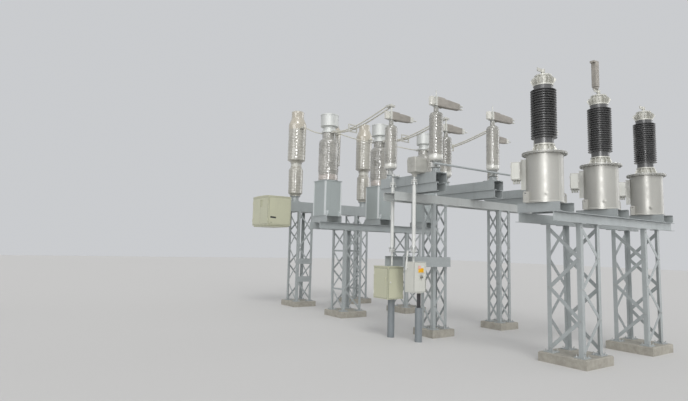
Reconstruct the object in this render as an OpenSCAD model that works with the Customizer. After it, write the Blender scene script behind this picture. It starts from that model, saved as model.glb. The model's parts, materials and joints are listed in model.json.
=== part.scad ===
// Substation switchgear bay: voltage transformers, centre-break disconnector,
// current transformers and a live-tank circuit breaker on lattice towers.
// X runs across the three phases, Y along the bay, Z up. Millimetres.

/* [Bay layout] */
// Distance between neighbouring phases
phase_gap = 1700; // [1500:10:2200]
// Distance between the circuit breaker's poles
pole_gap = 1290; // [1150:10:1500]
// Distance between the two towers of a row
tower_gap = 2100; // [1800:10:2600]
// Shift of the voltage transformer row across the phases
vt_shift = 200; // [0:10:300]
// Disconnector row to voltage transformer row
vt_dist = 2920; // [2500:10:4000]
// Disconnector row to current transformer row
ct_dist = 3230; // [2800:10:4200]
// Current transformer row to circuit breaker row
cb_dist = 2500; // [2200:10:3500]
// Height of the concrete plinths above the ground
plinth_h = 150; // [80:5:400]
// How far a plinth reaches past its tower's foot plates
plinth_rim = 60; // [30:5:150]

/* [Towers] */
// Width of a leg angle's flange
leg_w = 75; // [60:1:110]
// Thickness of a leg angle
leg_t = 8; // [6:1:12]
// Width of a bracing bar
brace_w = 45; // [30:1:60]
// Thickness of a bracing bar
brace_t = 6; // [4:1:10]
// Side of a foot plate
foot_w = 180; // [160:5:240]
// Thickness of a foot plate
foot_t = 14; // [8:1:25]
// Side of a seat plate on top of a leg
seat_w = 110; // [95:5:140]
// Thickness of a seat plate
seat_t = 10; // [6:1:16]
// Voltage transformer tower, size across the phases
vt_tower_x = 560; // [440:10:640]
// Voltage transformer tower, size along the bay
vt_tower_y = 600; // [520:10:640]
// Voltage transformer tower height
vt_tower_h = 2080; // [1600:10:2600]
// Offset of these towers from the middle of their row, across the phases
vt_tower_dx = 45; // [0:5:60]
// Offset of these towers from the middle of their row, along the bay
vt_tower_dy = -35; // [-40:5:0]
// Width of their bracing bars
vt_brace_w = 60; // [30:1:65]
// Disconnector tower, size across the phases
ds_tower_x = 390; // [360:10:480]
// Disconnector tower, size along the bay
ds_tower_y = 350; // [330:10:440]
// Disconnector tower height
ds_tower_h = 2560; // [2400:10:3000]
// Current transformer tower, size across the phases
ct_tower_x = 550; // [460:10:640]
// Current transformer tower, size along the bay
ct_tower_y = 580; // [500:10:600]
// Current transformer tower height
ct_tower_h = 2070; // [1600:10:2600]
// Circuit breaker tower, size across the phases
cb_tower_x = 510; // [420:10:600]
// Circuit breaker tower, size along the bay
cb_tower_y = 580; // [480:10:700]
// Circuit breaker tower height
cb_tower_h = 2660; // [2400:10:3000]
// Depth of the level plates on the near breaker tower
face_plate_h = 160; // [100:10:220]
// Thickness of those plates
face_plate_t = 8; // [5:1:12]
// Height of the lower plate over the foot of the tower
face_plate_z = 570; // [400:10:900]
// Step from the lower plate up to the upper one
face_plate_step = 525; // [300:5:900]

/* [Beams] */
// Depth of the channels that run across the phases
beam_h = 170; // [120:5:220]
// Depth of the voltage transformers' long channels
vt_beam_h = 155; // [140:5:220]
// Flange width of those channels
beam_b = 70; // [60:1:80]
// Depth of the short channels under each current transformer
cross_h = 160; // [100:5:190]
// Depth of the short channels under each voltage transformer
vt_cross_h = 145; // [120:5:190]
// Flange width of the short channels
cross_b = 60; // [45:1:80]
// Wall of every channel
channel_t = 8; // [6:1:12]
// Reach of the voltage transformers' channels past the outer phase
vt_beam_over = 260; // [225:5:500]
// Reach of the disconnector's rails past the outer phase
ds_beam_over = 600; // [400:10:700]
// Reach of the current transformers' channels past the outer phase
ct_beam_over = 365; // [300:5:600]
// Distance between the webs of the voltage transformers' channels
vt_web_gap = 600; // [520:5:620]
// Distance between the webs of the current transformers' channels
ct_web_gap = 470; // [440:5:500]
// Distance between the webs of a voltage transformer's short channels
vt_cross_gap = 390; // [360:5:450]
// Distance between the webs of a current transformer's short channels
ct_cross_gap = 450; // [400:5:450]
// Length of the voltage transformers' short channels
vt_cross_len = 750; // [740:10:1100]
// Length of the current transformers' short channels
ct_cross_len = 700; // [600:10:900]

/* [Voltage transformers] */
// Tank radius
vt_tank_r = 282; // [260:2:320]
// Tank height
vt_tank_h = 775; // [600:5:1000]
// Radius of the tank's lid flange
vt_lid_r = 344; // [330:2:380]
// Thickness of the lid flange
vt_lid_t = 30; // [16:1:40]
// Height of the casting under the bushing
vt_foot_h = 145; // [100:5:180]
// Radius of that casting's flange
vt_foot_r = 196; // [184:2:220]
// Bushing length
vt_ins_h = 960; // [700:10:1200]
// Radius of the bushing's core
vt_core_r = 146; // [120:2:156]
// Radius of the bushing's sheds
vt_shed_r = 200; // [176:2:220]
// Number of sheds on a bushing
vt_sheds = 20; // [12:1:24]
// Smooth part of the bushing under its lowest shed
vt_neck_low = 90; // [30:5:140]
// Smooth part of the bushing over its highest shed
vt_neck_high = 55; // [15:5:80]
// Height of the crown casting on the bushing
vt_crown_h = 180; // [140:5:240]
// Radius of the crown casting at its widest
vt_crown_r = 198; // [180:2:230]
// Radius of the crown casting's top plate
vt_crown_top = 133; // [125:1:150]
// Ribs on a casting
casting_ribs = 12; // [8:1:16]
// Height of the terminal post
vt_stud_h = 110; // [90:5:200]
// Radius of the terminal post
vt_stud_r = 24; // [18:1:34]
// Length of the terminal palm
palm_l = 120; // [90:5:160]
// Height of the terminal palm
palm_h = 55; // [40:5:70]
// Thickness of the terminal palm
palm_t = 16; // [10:1:24]
// Height of the wrapped post on the middle transformer
vt_stub_h = 515; // [300:5:900]
// Side of the wrapped post
vt_stub_w = 105; // [84:1:130]
// Secondary terminal box, width along the bay
vt_box_y = 200; // [150:5:260]
// Secondary terminal box, depth
vt_box_x = 146; // [110:2:200]
// Secondary terminal box, height
vt_box_h = 290; // [250:5:340]
// Underside of the secondary box over the tank's bottom
vt_box_up = 385; // [250:5:400]
// Clear distance from the tank to the secondary box
vt_box_gap = 75; // [40:5:100]

/* [Disconnector] */
// Distance between the two posts of a pole
post_gap = 1380; // [1300:10:1500]
// Depth of a pole's lower channels
base_low_h = 165; // [120:5:200]
// Depth of a pole's upper channels
base_up_h = 195; // [140:5:220]
// Overall width of a pole's base
base_w = 300; // [260:5:340]
// Reach of the base past its posts
base_over = 150; // [130:5:250]
// Thickness of the plates under the posts
base_plate_t = 12; // [8:1:20]
// Height of a post's fixed bearing housing
bearing_h = 90; // [60:5:120]
// Radius of the bearing housing
bearing_r = 105; // [90:1:125]
// Radius of the spindle that turns in the bearing
spindle_r = 30; // [20:1:40]
// Height of the casting between bearing and porcelain
post_foot_h = 150; // [120:5:180]
// Length of the porcelain
post_ins_h = 900; // [700:10:1000]
// Radius of the porcelain's core
post_core_r = 66; // [50:1:80]
// Radius of the porcelain's sheds
post_shed_r = 118; // [100:1:125]
// Number of sheds on a post
post_sheds = 14; // [8:1:18]
// Height of the cap and neck over the porcelain
post_cap_h = 185; // [150:5:220]
// Side of the head block
head_w = 120; // [100:2:150]
// Height of the head block
head_h = 175; // [150:5:220]
// Height of a contact arm
arm_h = 150; // [110:2:160]
// Thickness of a contact arm
arm_t = 84; // [60:2:110]
// Gap between the two arms' bodies when closed
arm_gap = 150; // [130:5:200]
// Overlap of blade and fork when closed
blade_lap = 45; // [30:1:60]
// Thickness of the contact blade
blade_t = 18; // [12:1:24]
// Clear height above and below the blade in the fork
fork_clear = 12; // [8:1:16]
// Lever length of the phase coupling
lever_r = 200; // [180:2:230]
// Radius of the coupling's pins
pin_r = 10; // [8:1:14]
// Radius of the phase coupling tube
rod_r = 20; // [14:1:26]

/* [Disconnector drive] */
// Distance from the outer pole to the drive tubes
drive_out = 300; // [290:5:400]
// Place of the main drive tube along the bay
main_y = -405; // [-440:5:-370]
// Radius of the drive tubes
tube_r = 36; // [26:1:42]
// Depth of the bracket channels
bracket_h = 200; // [160:5:240]
// Flange width of the bracket channels
bracket_b = 75; // [70:1:95]
// Distance from the near tower to the back of the bracket channels
bracket_off = 30; // [20:5:50]
// Underside of the brackets above the plinth
bracket_z = 1260; // [900:10:1500]
// Motor box width
motor_x = 400; // [340:5:440]
// Motor box depth
motor_y = 450; // [400:5:480]
// Motor box height
motor_h = 640; // [500:10:760]
// Shift of the motor box outwards from its drive tube
motor_shift = 80; // [0:5:90]
// Hand drive box width
hand_x = 320; // [280:5:360]
// Shift of the hand drive box towards the tower from its drive tube
hand_shift = 60; // [0:5:80]
// Hand drive box depth
hand_y = 240; // [200:5:280]
// Hand drive box height
hand_h = 580; // [450:10:640]
// Radius of the cable risers under the boxes
riser_r = 70; // [50:1:75]
// Height of the riser under the hand drive box
hand_riser_h = 640; // [400:10:700]
// Radius of the cables between hand drive box and riser
cable_r = 13; // [8:1:15]
// Radius of the hand drive box's knob
knob_r = 34; // [24:1:44]
// Distance from the box's left edge to the knob
knob_in = 200; // [120:5:220]
// Distance from the box's top to the knob
knob_down = 150; // [110:5:200]
// Gear box side
gear_w = 300; // [260:5:340]
// Gear box height
gear_h = 310; // [220:5:330]

/* [Current transformers] */
// Tank size across the phases
ct_tank_x = 490; // [470:5:560]
// Tank size along the bay
ct_tank_y = 550; // [480:5:620]
// Tank height
ct_tank_h = 910; // [700:10:1100]
// Height of the flange under the porcelain
ct_flange_h = 50; // [30:5:80]
// Porcelain length
ct_ins_h = 1000; // [800:10:1200]
// Radius of the porcelain's core
ct_core_r = 135; // [100:2:150]
// Radius of the porcelain's sheds
ct_shed_r = 205; // [170:2:215]
// Number of sheds
ct_sheds = 16; // [10:1:20]
// Radius of the foot flange under the porcelain
ct_foot_r = 240; // [222:2:244]
// Radius of the neck under the head
ct_neck_r = 170; // [130:1:185]
// Height of the neck under the head
ct_neck_h = 385; // [330:5:420]
// Terminal ring over the foot of the neck
ct_ring_up = 220; // [180:5:240]
// Head radius
ct_head_r = 230; // [190:5:260]
// Head height
ct_head_h = 345; // [300:5:480]
// Radius of the film round the porcelain
ct_film_r = 262; // [255:1:280]

/* [Circuit breaker] */
// Depth of the breaker's beam
cb_beam_h = 300; // [240:10:360]
// Width of the breaker's beam
cb_beam_w = 320; // [260:10:400]
// Height of a pole's foot
cb_foot_h = 200; // [120:5:240]
// Support insulator length
cb_low_h = 855; // [700:5:1100]
// Radius of the support insulator's core
cb_low_core = 100; // [80:2:115]
// Radius of the support insulator's sheds
cb_low_shed = 180; // [150:2:185]
// Height of the casting between the insulators
cb_mid_h = 155; // [100:5:200]
// Chamber insulator length
cb_up_h = 980; // [800:10:1500]
// Radius of the chamber's core
cb_up_core = 150; // [120:2:170]
// Radius of the chamber's sheds
cb_up_shed = 225; // [190:2:235]
// Height of the head on the chamber
cb_top_h = 620; // [560:5:700]
// Radius of the neck on the head
cb_neck_r = 176; // [140:2:190]
// Height of the terminal pad over the chamber insulator
cb_pad_up = 50; // [50:5:150]
// Reach of that pad past the film
cb_pad_out = 110; // [100:5:160]
// Radius of the film round the support insulator
cb_low_film = 218; // [212:1:240]
// Radius of the film round the chamber
cb_up_film = 270; // [262:1:290]
// Thickness of the modelled film
film_t = 5; // [3:1:8]
// Mechanism cabinet width across the phases
cabinet_x = 720; // [600:10:950]
// Mechanism cabinet depth along the bay
cabinet_y = 1050; // [800:10:1100]
// Mechanism cabinet height
cabinet_h = 880; // [700:10:1100]
// Reach of the beam past the outer pole, to the cabinet
cabinet_gap = 410; // [330:10:500]

/* [Conductors] */
// Radius of a conductor
wire_r = 16; // [8:1:18]
// Distance between the conductors of a twin
twin_gap = 110; // [80:5:120]
// Sag of the twin conductors
twin_sag = 150; // [60:10:260]

/* [Hidden] */

// Rows along the bay, with the disconnector at zero
vt_y = -vt_dist;
ct_y = ct_dist;
cb_y = ct_dist + cb_dist;
phases = [-1, 0, 1];
sides = [-1, 1];

// Levels from the ground up
z_foot = plinth_h;
z_vt_beam = z_foot + vt_tower_h;
z_vt_cross = z_vt_beam + vt_beam_h;
z_vt_tank = z_vt_cross + vt_cross_h;
z_vt_lid = z_vt_tank + vt_tank_h;
z_vt_foot = z_vt_lid + vt_lid_t;
z_vt_ins = z_vt_foot + vt_foot_h;
z_vt_crown = z_vt_ins + vt_ins_h;
z_vt_stud = z_vt_crown + vt_crown_h;
z_ds_rail = z_foot + ds_tower_h;
z_base_low = z_ds_rail + beam_h;
z_base_up = z_base_low + base_low_h;
z_base_top = z_base_up + base_up_h + base_plate_t;
z_bearing = z_base_top + bearing_h;
post_lift = 5;
z_post = z_bearing + post_lift;
z_post_ins = z_post + post_foot_h;
z_post_cap = z_post_ins + post_ins_h;
z_head = z_post_cap + post_cap_h;
z_arm = z_head + head_h / 2;
z_lever = z_post + 22;
lever_t = 12;
z_ct_beam = z_foot + ct_tower_h;
z_ct_cross = z_ct_beam + beam_h;
z_ct_tank = z_ct_cross + cross_h;
z_ct_flange = z_ct_tank + ct_tank_h;
z_ct_ins = z_ct_flange + ct_flange_h;
z_ct_neck = z_ct_ins + ct_ins_h;
z_ct_ring = z_ct_neck + ct_ring_up;
z_ct_head = z_ct_neck + ct_neck_h;
z_cb_beam = z_foot + cb_tower_h;
z_cb_foot = z_cb_beam + cb_beam_h;
z_cb_low = z_cb_foot + cb_foot_h;
z_cb_mid = z_cb_low + cb_low_h;
z_cb_up = z_cb_mid + cb_mid_h;
z_cb_top = z_cb_up + cb_up_h;
cb_film_up = cb_top_h - 20;
z_cb_pad = z_cb_top + cb_pad_up;
z_bracket = z_foot + bracket_z;
z_second_top = z_base_up + base_up_h;
tube_off_low = 90;
tube_off_high = 140;
z_tube_low = z_bracket + bracket_h + tube_off_low;
z_tube_high = z_base_top - tube_off_high;

// Disconnector drive
drive_x = -phase_gap - drive_out;
bracket_y = ds_tower_y / 2 + bracket_off;
second_y = bracket_y + bracket_b / 2;
near_y = -post_gap / 2;
far_y = post_gap / 2;
arm_len = post_gap / 2 - arm_gap / 2;
blade_reach = post_gap / 2 + blade_lap;
run_gap = 0.4;
ring_rim = 25;
ct_ring_r = ct_neck_r + ring_rim;
ct_ring_h = 50;
cb_ring_r = cb_up_core + 10;
cb_foot_r = 150;
fuse = 1;
pad_t = 16;
pad_w = 110;
pad_out = 115;
lug_t = 16;
lug_root = 10;
lug_hole_r = 14;
vt_hub_r = vt_stud_r + 8;
cabinet_up = 80;
hand_door_t = 6;
knob_plate_t = 8;
seat_out_vt = vt_web_gap / 2 + beam_b - vt_tower_y / 2;
seat_out_ct = ct_web_gap / 2 + beam_b - ct_tower_y / 2;
beam_lap = 60;
seat_in_cb = (cb_tower_y - cb_beam_w) / 2 + beam_lap;

// Outermost points of the bay, for the origin at the centre of its outline
rail_half = phase_gap + ds_beam_over;
roof_over = 8;
cabinet_x0 = -pole_gap - cabinet_gap - cabinet_x;
x_lo = min(cabinet_x0 - roof_over, -rail_half, drive_x - motor_shift - motor_x / 2 - roof_over);
x_hi = max(rail_half, phase_gap + vt_beam_over + vt_shift, pole_gap + cabinet_gap, phase_gap + blade_reach);
vt_plinth_y = vt_tower_y + foot_w - leg_w + 2 * plinth_rim;
cb_plinth_y = cb_tower_y + foot_w - leg_w + 2 * plinth_rim;
y_lo = vt_y - max(vt_plinth_y / 2 - vt_tower_dy, vt_cross_len / 2);
y_hi = cb_y + max(cb_plinth_y / 2, cabinet_y / 2 + roof_over);
origin_x = (x_lo + x_hi) / 2;
origin_y = (y_lo + y_hi) / 2;

// Puts the bay's outline centre on the origin
module bay() {
    translate([-origin_x, -origin_y, 0]) children();
}

// Section of a channel with its web at x = 0 and flanges towards +x
module channel_section(depth, flange) {
    difference() {
        square([flange, depth]);
        translate([channel_t, channel_t]) square([flange, depth - 2 * channel_t]);
    }
}

// A channel along X, its web on the side that faces dir along Y
module channel_x(len, depth, flange, dir) {
    mirror([0, dir > 0 ? 1 : 0, 0])
        rotate([90, 0, 90])
            linear_extrude(len, center = true) channel_section(depth, flange);
}

// A channel along Y, its web on the side that faces dir along X
module channel_y(len, depth, flange, dir) {
    mirror([dir > 0 ? 1 : 0, 0, 0])
        rotate([90, 0, 0])
            linear_extrude(len, center = true) channel_section(depth, flange);
}

// Leg angle with its corner at the origin and flanges towards +x and +y
module leg_section() {
    difference() {
        square(leg_w);
        translate([leg_t, leg_t]) square(leg_w);
    }
}

// A bracing bar in the XZ plane from one leg to the other
module brace(half, z0, z1, dir, bar_w) {
    len = norm([2 * half, z1 - z0]);
    translate([0, 0, (z0 + z1) / 2])
        rotate([0, -dir * atan2(z1 - z0, 2 * half), 0])
            cube([len, brace_t, bar_w], center = true);
}

// Height of the panel joint number p over the tower's foot, for bars bar_w wide
function joint_z(h, panels, p, bar_w) =
    foot_t + bar_w + p * (h - seat_t - foot_t - 2 * bar_w) / panels;

// Zigzag bracing on the two faces that look along Y, for a tower wx by wy. The sign turn leans the first bar.
module face_braces(wx, wy, h, panels, turn, bar_w) {
    half = wx / 2 - leg_w / 2;
    inset = wy / 2 - leg_t - brace_t / 2 + fuse;
    for (side = sides, p = [0 : panels - 1])
        translate([0, side * inset, 0])
            brace(half, joint_z(h, panels, p, bar_w), joint_z(h, panels, p + 1, bar_w),
                (p % 2 == 0 ? turn : -turn) * side, bar_w);
}

// Level bars at every second panel joint of the two faces that look across the phases
module level_bars(wx, wy, h, panels) {
    bar_t = 1.5 * brace_t;
    inset = wx / 2 - leg_t - bar_t / 2 + fuse / 2;
    for (side = sides, p = [1 : 2 : panels - 1])
        translate([side * inset, 0, joint_z(h, panels, p, brace_w)])
            cube([bar_t, wy - leg_w, brace_w], center = true);
}

// A lattice tower standing on z = 0, with foot plates below and seats on top.
// Along the bay the seats reach past the legs by seat_out and inwards by seat_in, and they even out
// the offset off_y of a tower that stands beside the middle of its row.
module lattice_tower(wx, wy, h, panels, seat_out, seat_in, off_y, turn, bar_w) {
    for (sx = sides, sy = sides)
        translate([sx * wx / 2, sy * wy / 2, 0])
            mirror([sx > 0 ? 1 : 0, 0, 0])
                mirror([0, sy > 0 ? 1 : 0, 0]) {
                    translate([0, 0, foot_t]) linear_extrude(h - foot_t - seat_t) leg_section();
                    translate([(leg_w - foot_w) / 2, (leg_w - foot_w) / 2, 0])
                        cube([foot_w, foot_w, foot_t]);
                    translate([0, sy * off_y - seat_out, h - seat_t])
                        cube([seat_w, seat_in + seat_out - sy * off_y, seat_t]);
                }
    face_braces(wx, wy, h, panels, turn, bar_w);
    rotate(90) face_braces(wy, wx, h, panels, turn, bar_w);
}

// The two towers of a row
module tower_pair(row_y, wx, wy, h, panels, seat_out, seat_in, off_y = 0, turn = 1, bar_w = brace_w) {
    for (side = sides)
        translate([side * tower_gap / 2, row_y + off_y, z_foot])
            lattice_tower(wx, wy, h, panels, seat_out, seat_in, off_y, turn, bar_w);
}

// A plinth under a tower of the given size, its upper edges bevelled
module plinth(wx, wy) {
    grow = foot_w - leg_w + 2 * plinth_rim;
    bevel = 12;
    px = wx + grow;
    py = wy + grow;
    intersection() {
        translate([-px / 2, 0, 0])
            rotate([90, 0, 90]) linear_extrude(px) plinth_profile(py, bevel);
        translate([0, py / 2, 0])
            rotate([90, 0, 0]) linear_extrude(py) plinth_profile(px, bevel);
    }
}

module plinth_profile(w, bevel) {
    polygon([[-w / 2, 0], [w / 2, 0], [w / 2, plinth_h - bevel], [w / 2 - bevel, plinth_h],
        [bevel - w / 2, plinth_h], [-w / 2, plinth_h - bevel]]);
}

module plinths() {
    color("#a9a59b") bay()
        for (side = sides)
            translate([side * tower_gap / 2, 0, 0]) {
                translate([vt_shift + vt_tower_dx, vt_y + vt_tower_dy, 0]) plinth(vt_tower_x, vt_tower_y);
                plinth(ds_tower_x, ds_tower_y);
                translate([0, ct_y, 0]) plinth(ct_tower_x, ct_tower_y);
                translate([0, cb_y, 0]) plinth(cb_tower_x, cb_tower_y);
            }
}

module vt_towers() {
    color("#98a0a3") bay()
        translate([vt_shift + vt_tower_dx, 0, 0])
            tower_pair(vt_y, vt_tower_x, vt_tower_y, vt_tower_h, 4, seat_out_vt, seat_w, vt_tower_dy, -1,
                vt_brace_w);
}

module ds_towers() {
    color("#98a0a3") bay() tower_pair(0, ds_tower_x, ds_tower_y, ds_tower_h, 6, 0, seat_w);
}

module ct_towers() {
    color("#98a0a3") bay() {
        tower_pair(ct_y, ct_tower_x, ct_tower_y, ct_tower_h, 4, seat_out_ct, seat_w);
        for (side = sides)
            translate([side * tower_gap / 2, ct_y, z_foot]) level_bars(ct_tower_x, ct_tower_y, ct_tower_h, 4);
    }
}

module cb_towers() {
    color("#98a0a3") bay() tower_pair(cb_y, cb_tower_x, cb_tower_y, cb_tower_h, 5, 0, seat_in_cb);
}

// Two level plates across the near breaker tower's front face
module cb_face_plates() {
    color("#8f979a") bay()
        for (z = [face_plate_z, face_plate_z + face_plate_step])
            translate([-tower_gap / 2 - cb_tower_x / 2, cb_y - cb_tower_y / 2 - face_plate_t, z_foot + z])
                cube([cb_tower_x, face_plate_t, face_plate_h]);
}

// Two long channels that open outwards, gap apart at their webs, len long and h deep
module open_pair(row_y, gap, len, z, h) {
    for (side = sides)
        translate([0, row_y + side * gap / 2, z]) channel_x(len, h, beam_b, -side);
}

module vt_beams() {
    color("#9aa1a3") bay()
        translate([vt_shift, 0, 0])
            open_pair(vt_y, vt_web_gap, 2 * (phase_gap + vt_beam_over), z_vt_beam, vt_beam_h);
}

module ct_beams() {
    color("#9aa1a3") bay()
        open_pair(ct_y, ct_web_gap, 2 * (phase_gap + ct_beam_over), z_ct_beam, beam_h);
}

module ds_rails() {
    color("#b4b6b2") bay()
        for (side = sides)
            translate([0, side * ds_tower_y / 2, z_ds_rail]) channel_x(2 * rail_half, beam_h, beam_b, side);
}

// Two short channels under each phase's apparatus, gap apart at their webs and h deep
module cross_pairs(row_y, gap, len, z, h) {
    for (ph = phases, side = sides)
        translate([ph * phase_gap + side * gap / 2, row_y, z])
            channel_y(len, h, cross_b, side);
}

module vt_cross_channels() {
    color("#a3a8a8") bay()
        translate([vt_shift, 0, 0]) cross_pairs(vt_y, vt_cross_gap, vt_cross_len, z_vt_cross, vt_cross_h);
}

module ct_cross_channels() {
    color("#a3a8a8") bay() cross_pairs(ct_y, ct_cross_gap, ct_cross_len, z_ct_cross, cross_h);
}

// A lug plate with a lifting hole near its top, standing out along +x from the radius r
module foot_lug(r, h) {
    reach = 66;
    hole_in = 26;
    rotate([90, 0, 0])
        translate([0, 0, -lug_t / 2])
            linear_extrude(lug_t)
                difference() {
                    polygon([[r - lug_root, 0], [r + reach / 3, 0], [r + reach, h - 2 * hole_in],
                        [r + reach, h], [r - lug_root, h]]);
                    translate([r + reach - hole_in, h - hole_in]) circle(r = lug_hole_r, $fn = 32);
                }
}

// An upright lug plate whose upper corner is rounded about its lifting hole, along +x from the radius r
module round_lug(r, h) {
    reach = 104;
    round_r = 34;
    rotate([90, 0, 0])
        translate([0, 0, -lug_t / 2])
            linear_extrude(lug_t)
                difference() {
                    union() {
                        translate([r - lug_root, 0]) square([lug_root + reach - round_r, h]);
                        translate([r - lug_root, 0]) square([lug_root + reach, h - round_r]);
                        translate([r + reach - round_r, h - round_r]) circle(r = round_r, $fn = 48);
                    }
                    translate([r + reach - round_r, h - round_r]) circle(r = lug_hole_r, $fn = 32);
                }
}

// Directions of the tank's lugs, of its drain boss and of its secondary box
lug_turns = [-23, 157];
drain_turn = 217.5;
box_turn = 118;

// A transformer tank with its lid flange, foot ring, lugs and drain boss
module vt_tank() {
    ring_h = 24;
    ring_out = 14;
    boss_r = 32;
    boss_l = 42;
    boss_z = 140;
    lug_h = 178;
    rotate_extrude($fn = 96)
        polygon([[0, 0], [vt_tank_r + ring_out, 0], [vt_tank_r + ring_out, ring_h], [vt_tank_r, ring_h],
            [vt_tank_r, vt_tank_h], [vt_lid_r, vt_tank_h], [vt_lid_r, vt_tank_h + vt_lid_t],
            [0, vt_tank_h + vt_lid_t]]);
    for (a = lug_turns) rotate(a) round_lug(vt_tank_r, lug_h);
    rotate(drain_turn)
        translate([vt_tank_r - boss_l / 2, 0, boss_z]) rotate([0, 90, 0]) {
            cylinder(r = boss_r, h = boss_l, $fn = 48);
            cylinder(r = boss_r / 2, h = 1.6 * boss_l, $fn = 48);
        }
}

// Places each phase's transformer, with z = 0 at the height z
module each_vt(z) {
    for (ph = phases) translate([ph * phase_gap + vt_shift, vt_y, z]) children();
}

module vt_tanks() {
    color("#c6c6bd") bay() each_vt(z_vt_tank) vt_tank();
}

// A casting of revolution with radial ribs: hub, foot, widest and top radius, the widest at h * wide_at
module ribbed_casting(hub_r, foot_r, wide_r, top_r, h, wide_at) {
    disc_t = 20;
    rib_t = 12;
    rotate_extrude($fn = 72)
        polygon([[0, 0], [foot_r, 0], [foot_r, disc_t], [hub_r, disc_t], [hub_r, h - disc_t],
            [top_r, h - disc_t], [top_r, h], [0, h]]);
    for (k = [0 : casting_ribs - 1])
        rotate(k * 360 / casting_ribs)
            translate([0, rib_t / 2, 0])
                rotate([90, 0, 0])
                    linear_extrude(rib_t)
                        polygon([[hub_r - 5, disc_t - fuse], [foot_r - 2, disc_t - fuse],
                            [wide_r, wide_at * h],
                            [wide_r - 8, (wide_at + 0.12) * h], [top_r - 2, h - disc_t + fuse],
                            [hub_r - 5, h - disc_t + fuse]]);
}

module vt_castings() {
    color("#cfcfc8") bay() {
        each_vt(z_vt_foot)
            ribbed_casting(vt_core_r - 14, vt_foot_r, vt_foot_r - 10, vt_core_r + 14, vt_foot_h, 0.4);
        each_vt(z_vt_crown)
            ribbed_casting(vt_crown_top - 16, vt_core_r + 8, vt_crown_r, vt_crown_top, vt_crown_h, 0.5);
    }
}

// Outline of a shedded insulator from z = 0 to h, smooth over low at its foot and high at its top
function shed_points(core, shed, h, n, low, high) =
    let (pitch = (h - low - high) / n, drip = 0.22, slope = 0.10, tip = 0.12, back = 0.92)
    [for (i = [0 : n - 1], p = [
        [core, low + i * pitch],
        [core, low + (i + drip) * pitch],
        [shed, low + (i + drip + slope) * pitch],
        [shed, low + (i + drip + slope + tip) * pitch],
        [core, low + (i + back) * pitch]]) p];

module shedded(core, shed, h, n, low, high) {
    rotate_extrude($fn = 64)
        polygon(concat([[0, 0], [core, 0]], shed_points(core, shed, h, n, low, high), [[core, h], [0, h]]));
}

module vt_bushings() {
    color("#3a3d40") bay()
        each_vt(z_vt_ins) shedded(vt_core_r, vt_shed_r, vt_ins_h, vt_sheds, vt_neck_low, vt_neck_high);
}

// Terminal stud on its foot, with an upright palm that points along -x
module vt_terminals() {
    foot_h = 20;
    color("#c9cac6") bay()
        each_vt(z_vt_stud) {
            cylinder(r = 2 * vt_stud_r, h = foot_h, $fn = 48);
            cylinder(r = vt_stud_r, h = vt_stud_h, $fn = 48);
            translate([0, 0, vt_stud_h - palm_h]) cylinder(r = vt_hub_r, h = palm_h, $fn = 48);
            translate([-vt_hub_r - palm_l, -palm_t / 2, vt_stud_h - palm_h])
                cube([palm_l + vt_hub_r, palm_t, palm_h]);
        }
}

// A square of side w about the origin, its corners rounded with radius r
module rounded_square(w, r) {
    square([w, w - 2 * r], center = true);
    square([w - 2 * r, w], center = true);
    for (sx = sides, sy = sides)
        translate([sx * (w / 2 - r), sy * (w / 2 - r)]) circle(r = r, $fn = 32);
}

// A wrapped post with a flap on its top stands on the palm of the middle terminal
module vt_wrapped_post() {
    corner = 22;
    waist = 20;
    waist_h = 40;
    flap = [50, 84, 34];
    color("#a39a90") bay()
        translate([vt_shift - vt_hub_r - palm_l / 2, vt_y, z_vt_stud + vt_stud_h]) {
            linear_extrude(waist_h + fuse) rounded_square(vt_stub_w - waist, corner);
            translate([0, 0, waist_h]) linear_extrude(vt_stub_h - waist_h) rounded_square(vt_stub_w, corner);
            translate([-vt_stub_w / 2 - flap.x, -flap.y / 2, vt_stub_h - flap.z])
                cube([flap.x + vt_stub_w / 2, flap.y, flap.z]);
        }
}

// Secondary terminal box with its cover, its upright rail against the tank and its cable glands
module vt_boxes() {
    cover_t = 8;
    cover_rim = 10;
    rail_t = 12;
    rail_w = 60;
    rail_down = 160;
    rail_up = 50;
    rail_h = rail_down + vt_box_h + rail_up;
    gland_r = 16;
    gland_h = 60;
    gland_gap = 40;
    color("#c8c9c4") bay()
        each_vt(z_vt_tank + vt_box_up)
            rotate(box_turn)
                translate([vt_tank_r + vt_box_gap, 0, 0]) {
                    translate([0, -vt_box_y / 2, 0]) cube([vt_box_x, vt_box_y, vt_box_h]);
                    translate([cover_rim, vt_box_y / 2 - fuse, cover_rim])
                        cube([vt_box_x - 2 * cover_rim, cover_t + fuse, vt_box_h - 2 * cover_rim]);
                    translate([-rail_t, -rail_w / 2, -rail_down]) cube([rail_t + fuse, rail_w, rail_h]);
                    translate([run_gap - vt_box_gap, -rail_t / 2, -rail_down])
                        cube([vt_box_gap, rail_t, rail_h]);
                    for (k = [-1 : 1])
                        translate([vt_box_x / 2 + k * gland_gap, 0, -gland_h])
                            cylinder(r = gland_r, h = gland_h + fuse, $fn = 32);
                }
}

// A pole's base: two lower and two upper channels with plates under the posts
module pole_base() {
    len = post_gap + 2 * base_over;
    step_in = 25;
    low_w = base_w - 2 * step_in;
    for (side = sides) {
        translate([side * low_w / 2, 0, z_base_low]) channel_y(len, base_low_h, cross_b, side);
        translate([side * base_w / 2, 0, z_base_up]) channel_y(len, base_up_h, cross_b + step_in, side);
        translate([-base_w / 2, side * post_gap / 2 - base_over, z_base_up + base_up_h])
            cube([base_w, 2 * base_over, base_plate_t]);
    }
}

module ds_pole_bases() {
    color("#a6abaa") bay()
        for (ph = phases) translate([ph * phase_gap, 0, 0]) pole_base();
}

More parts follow.
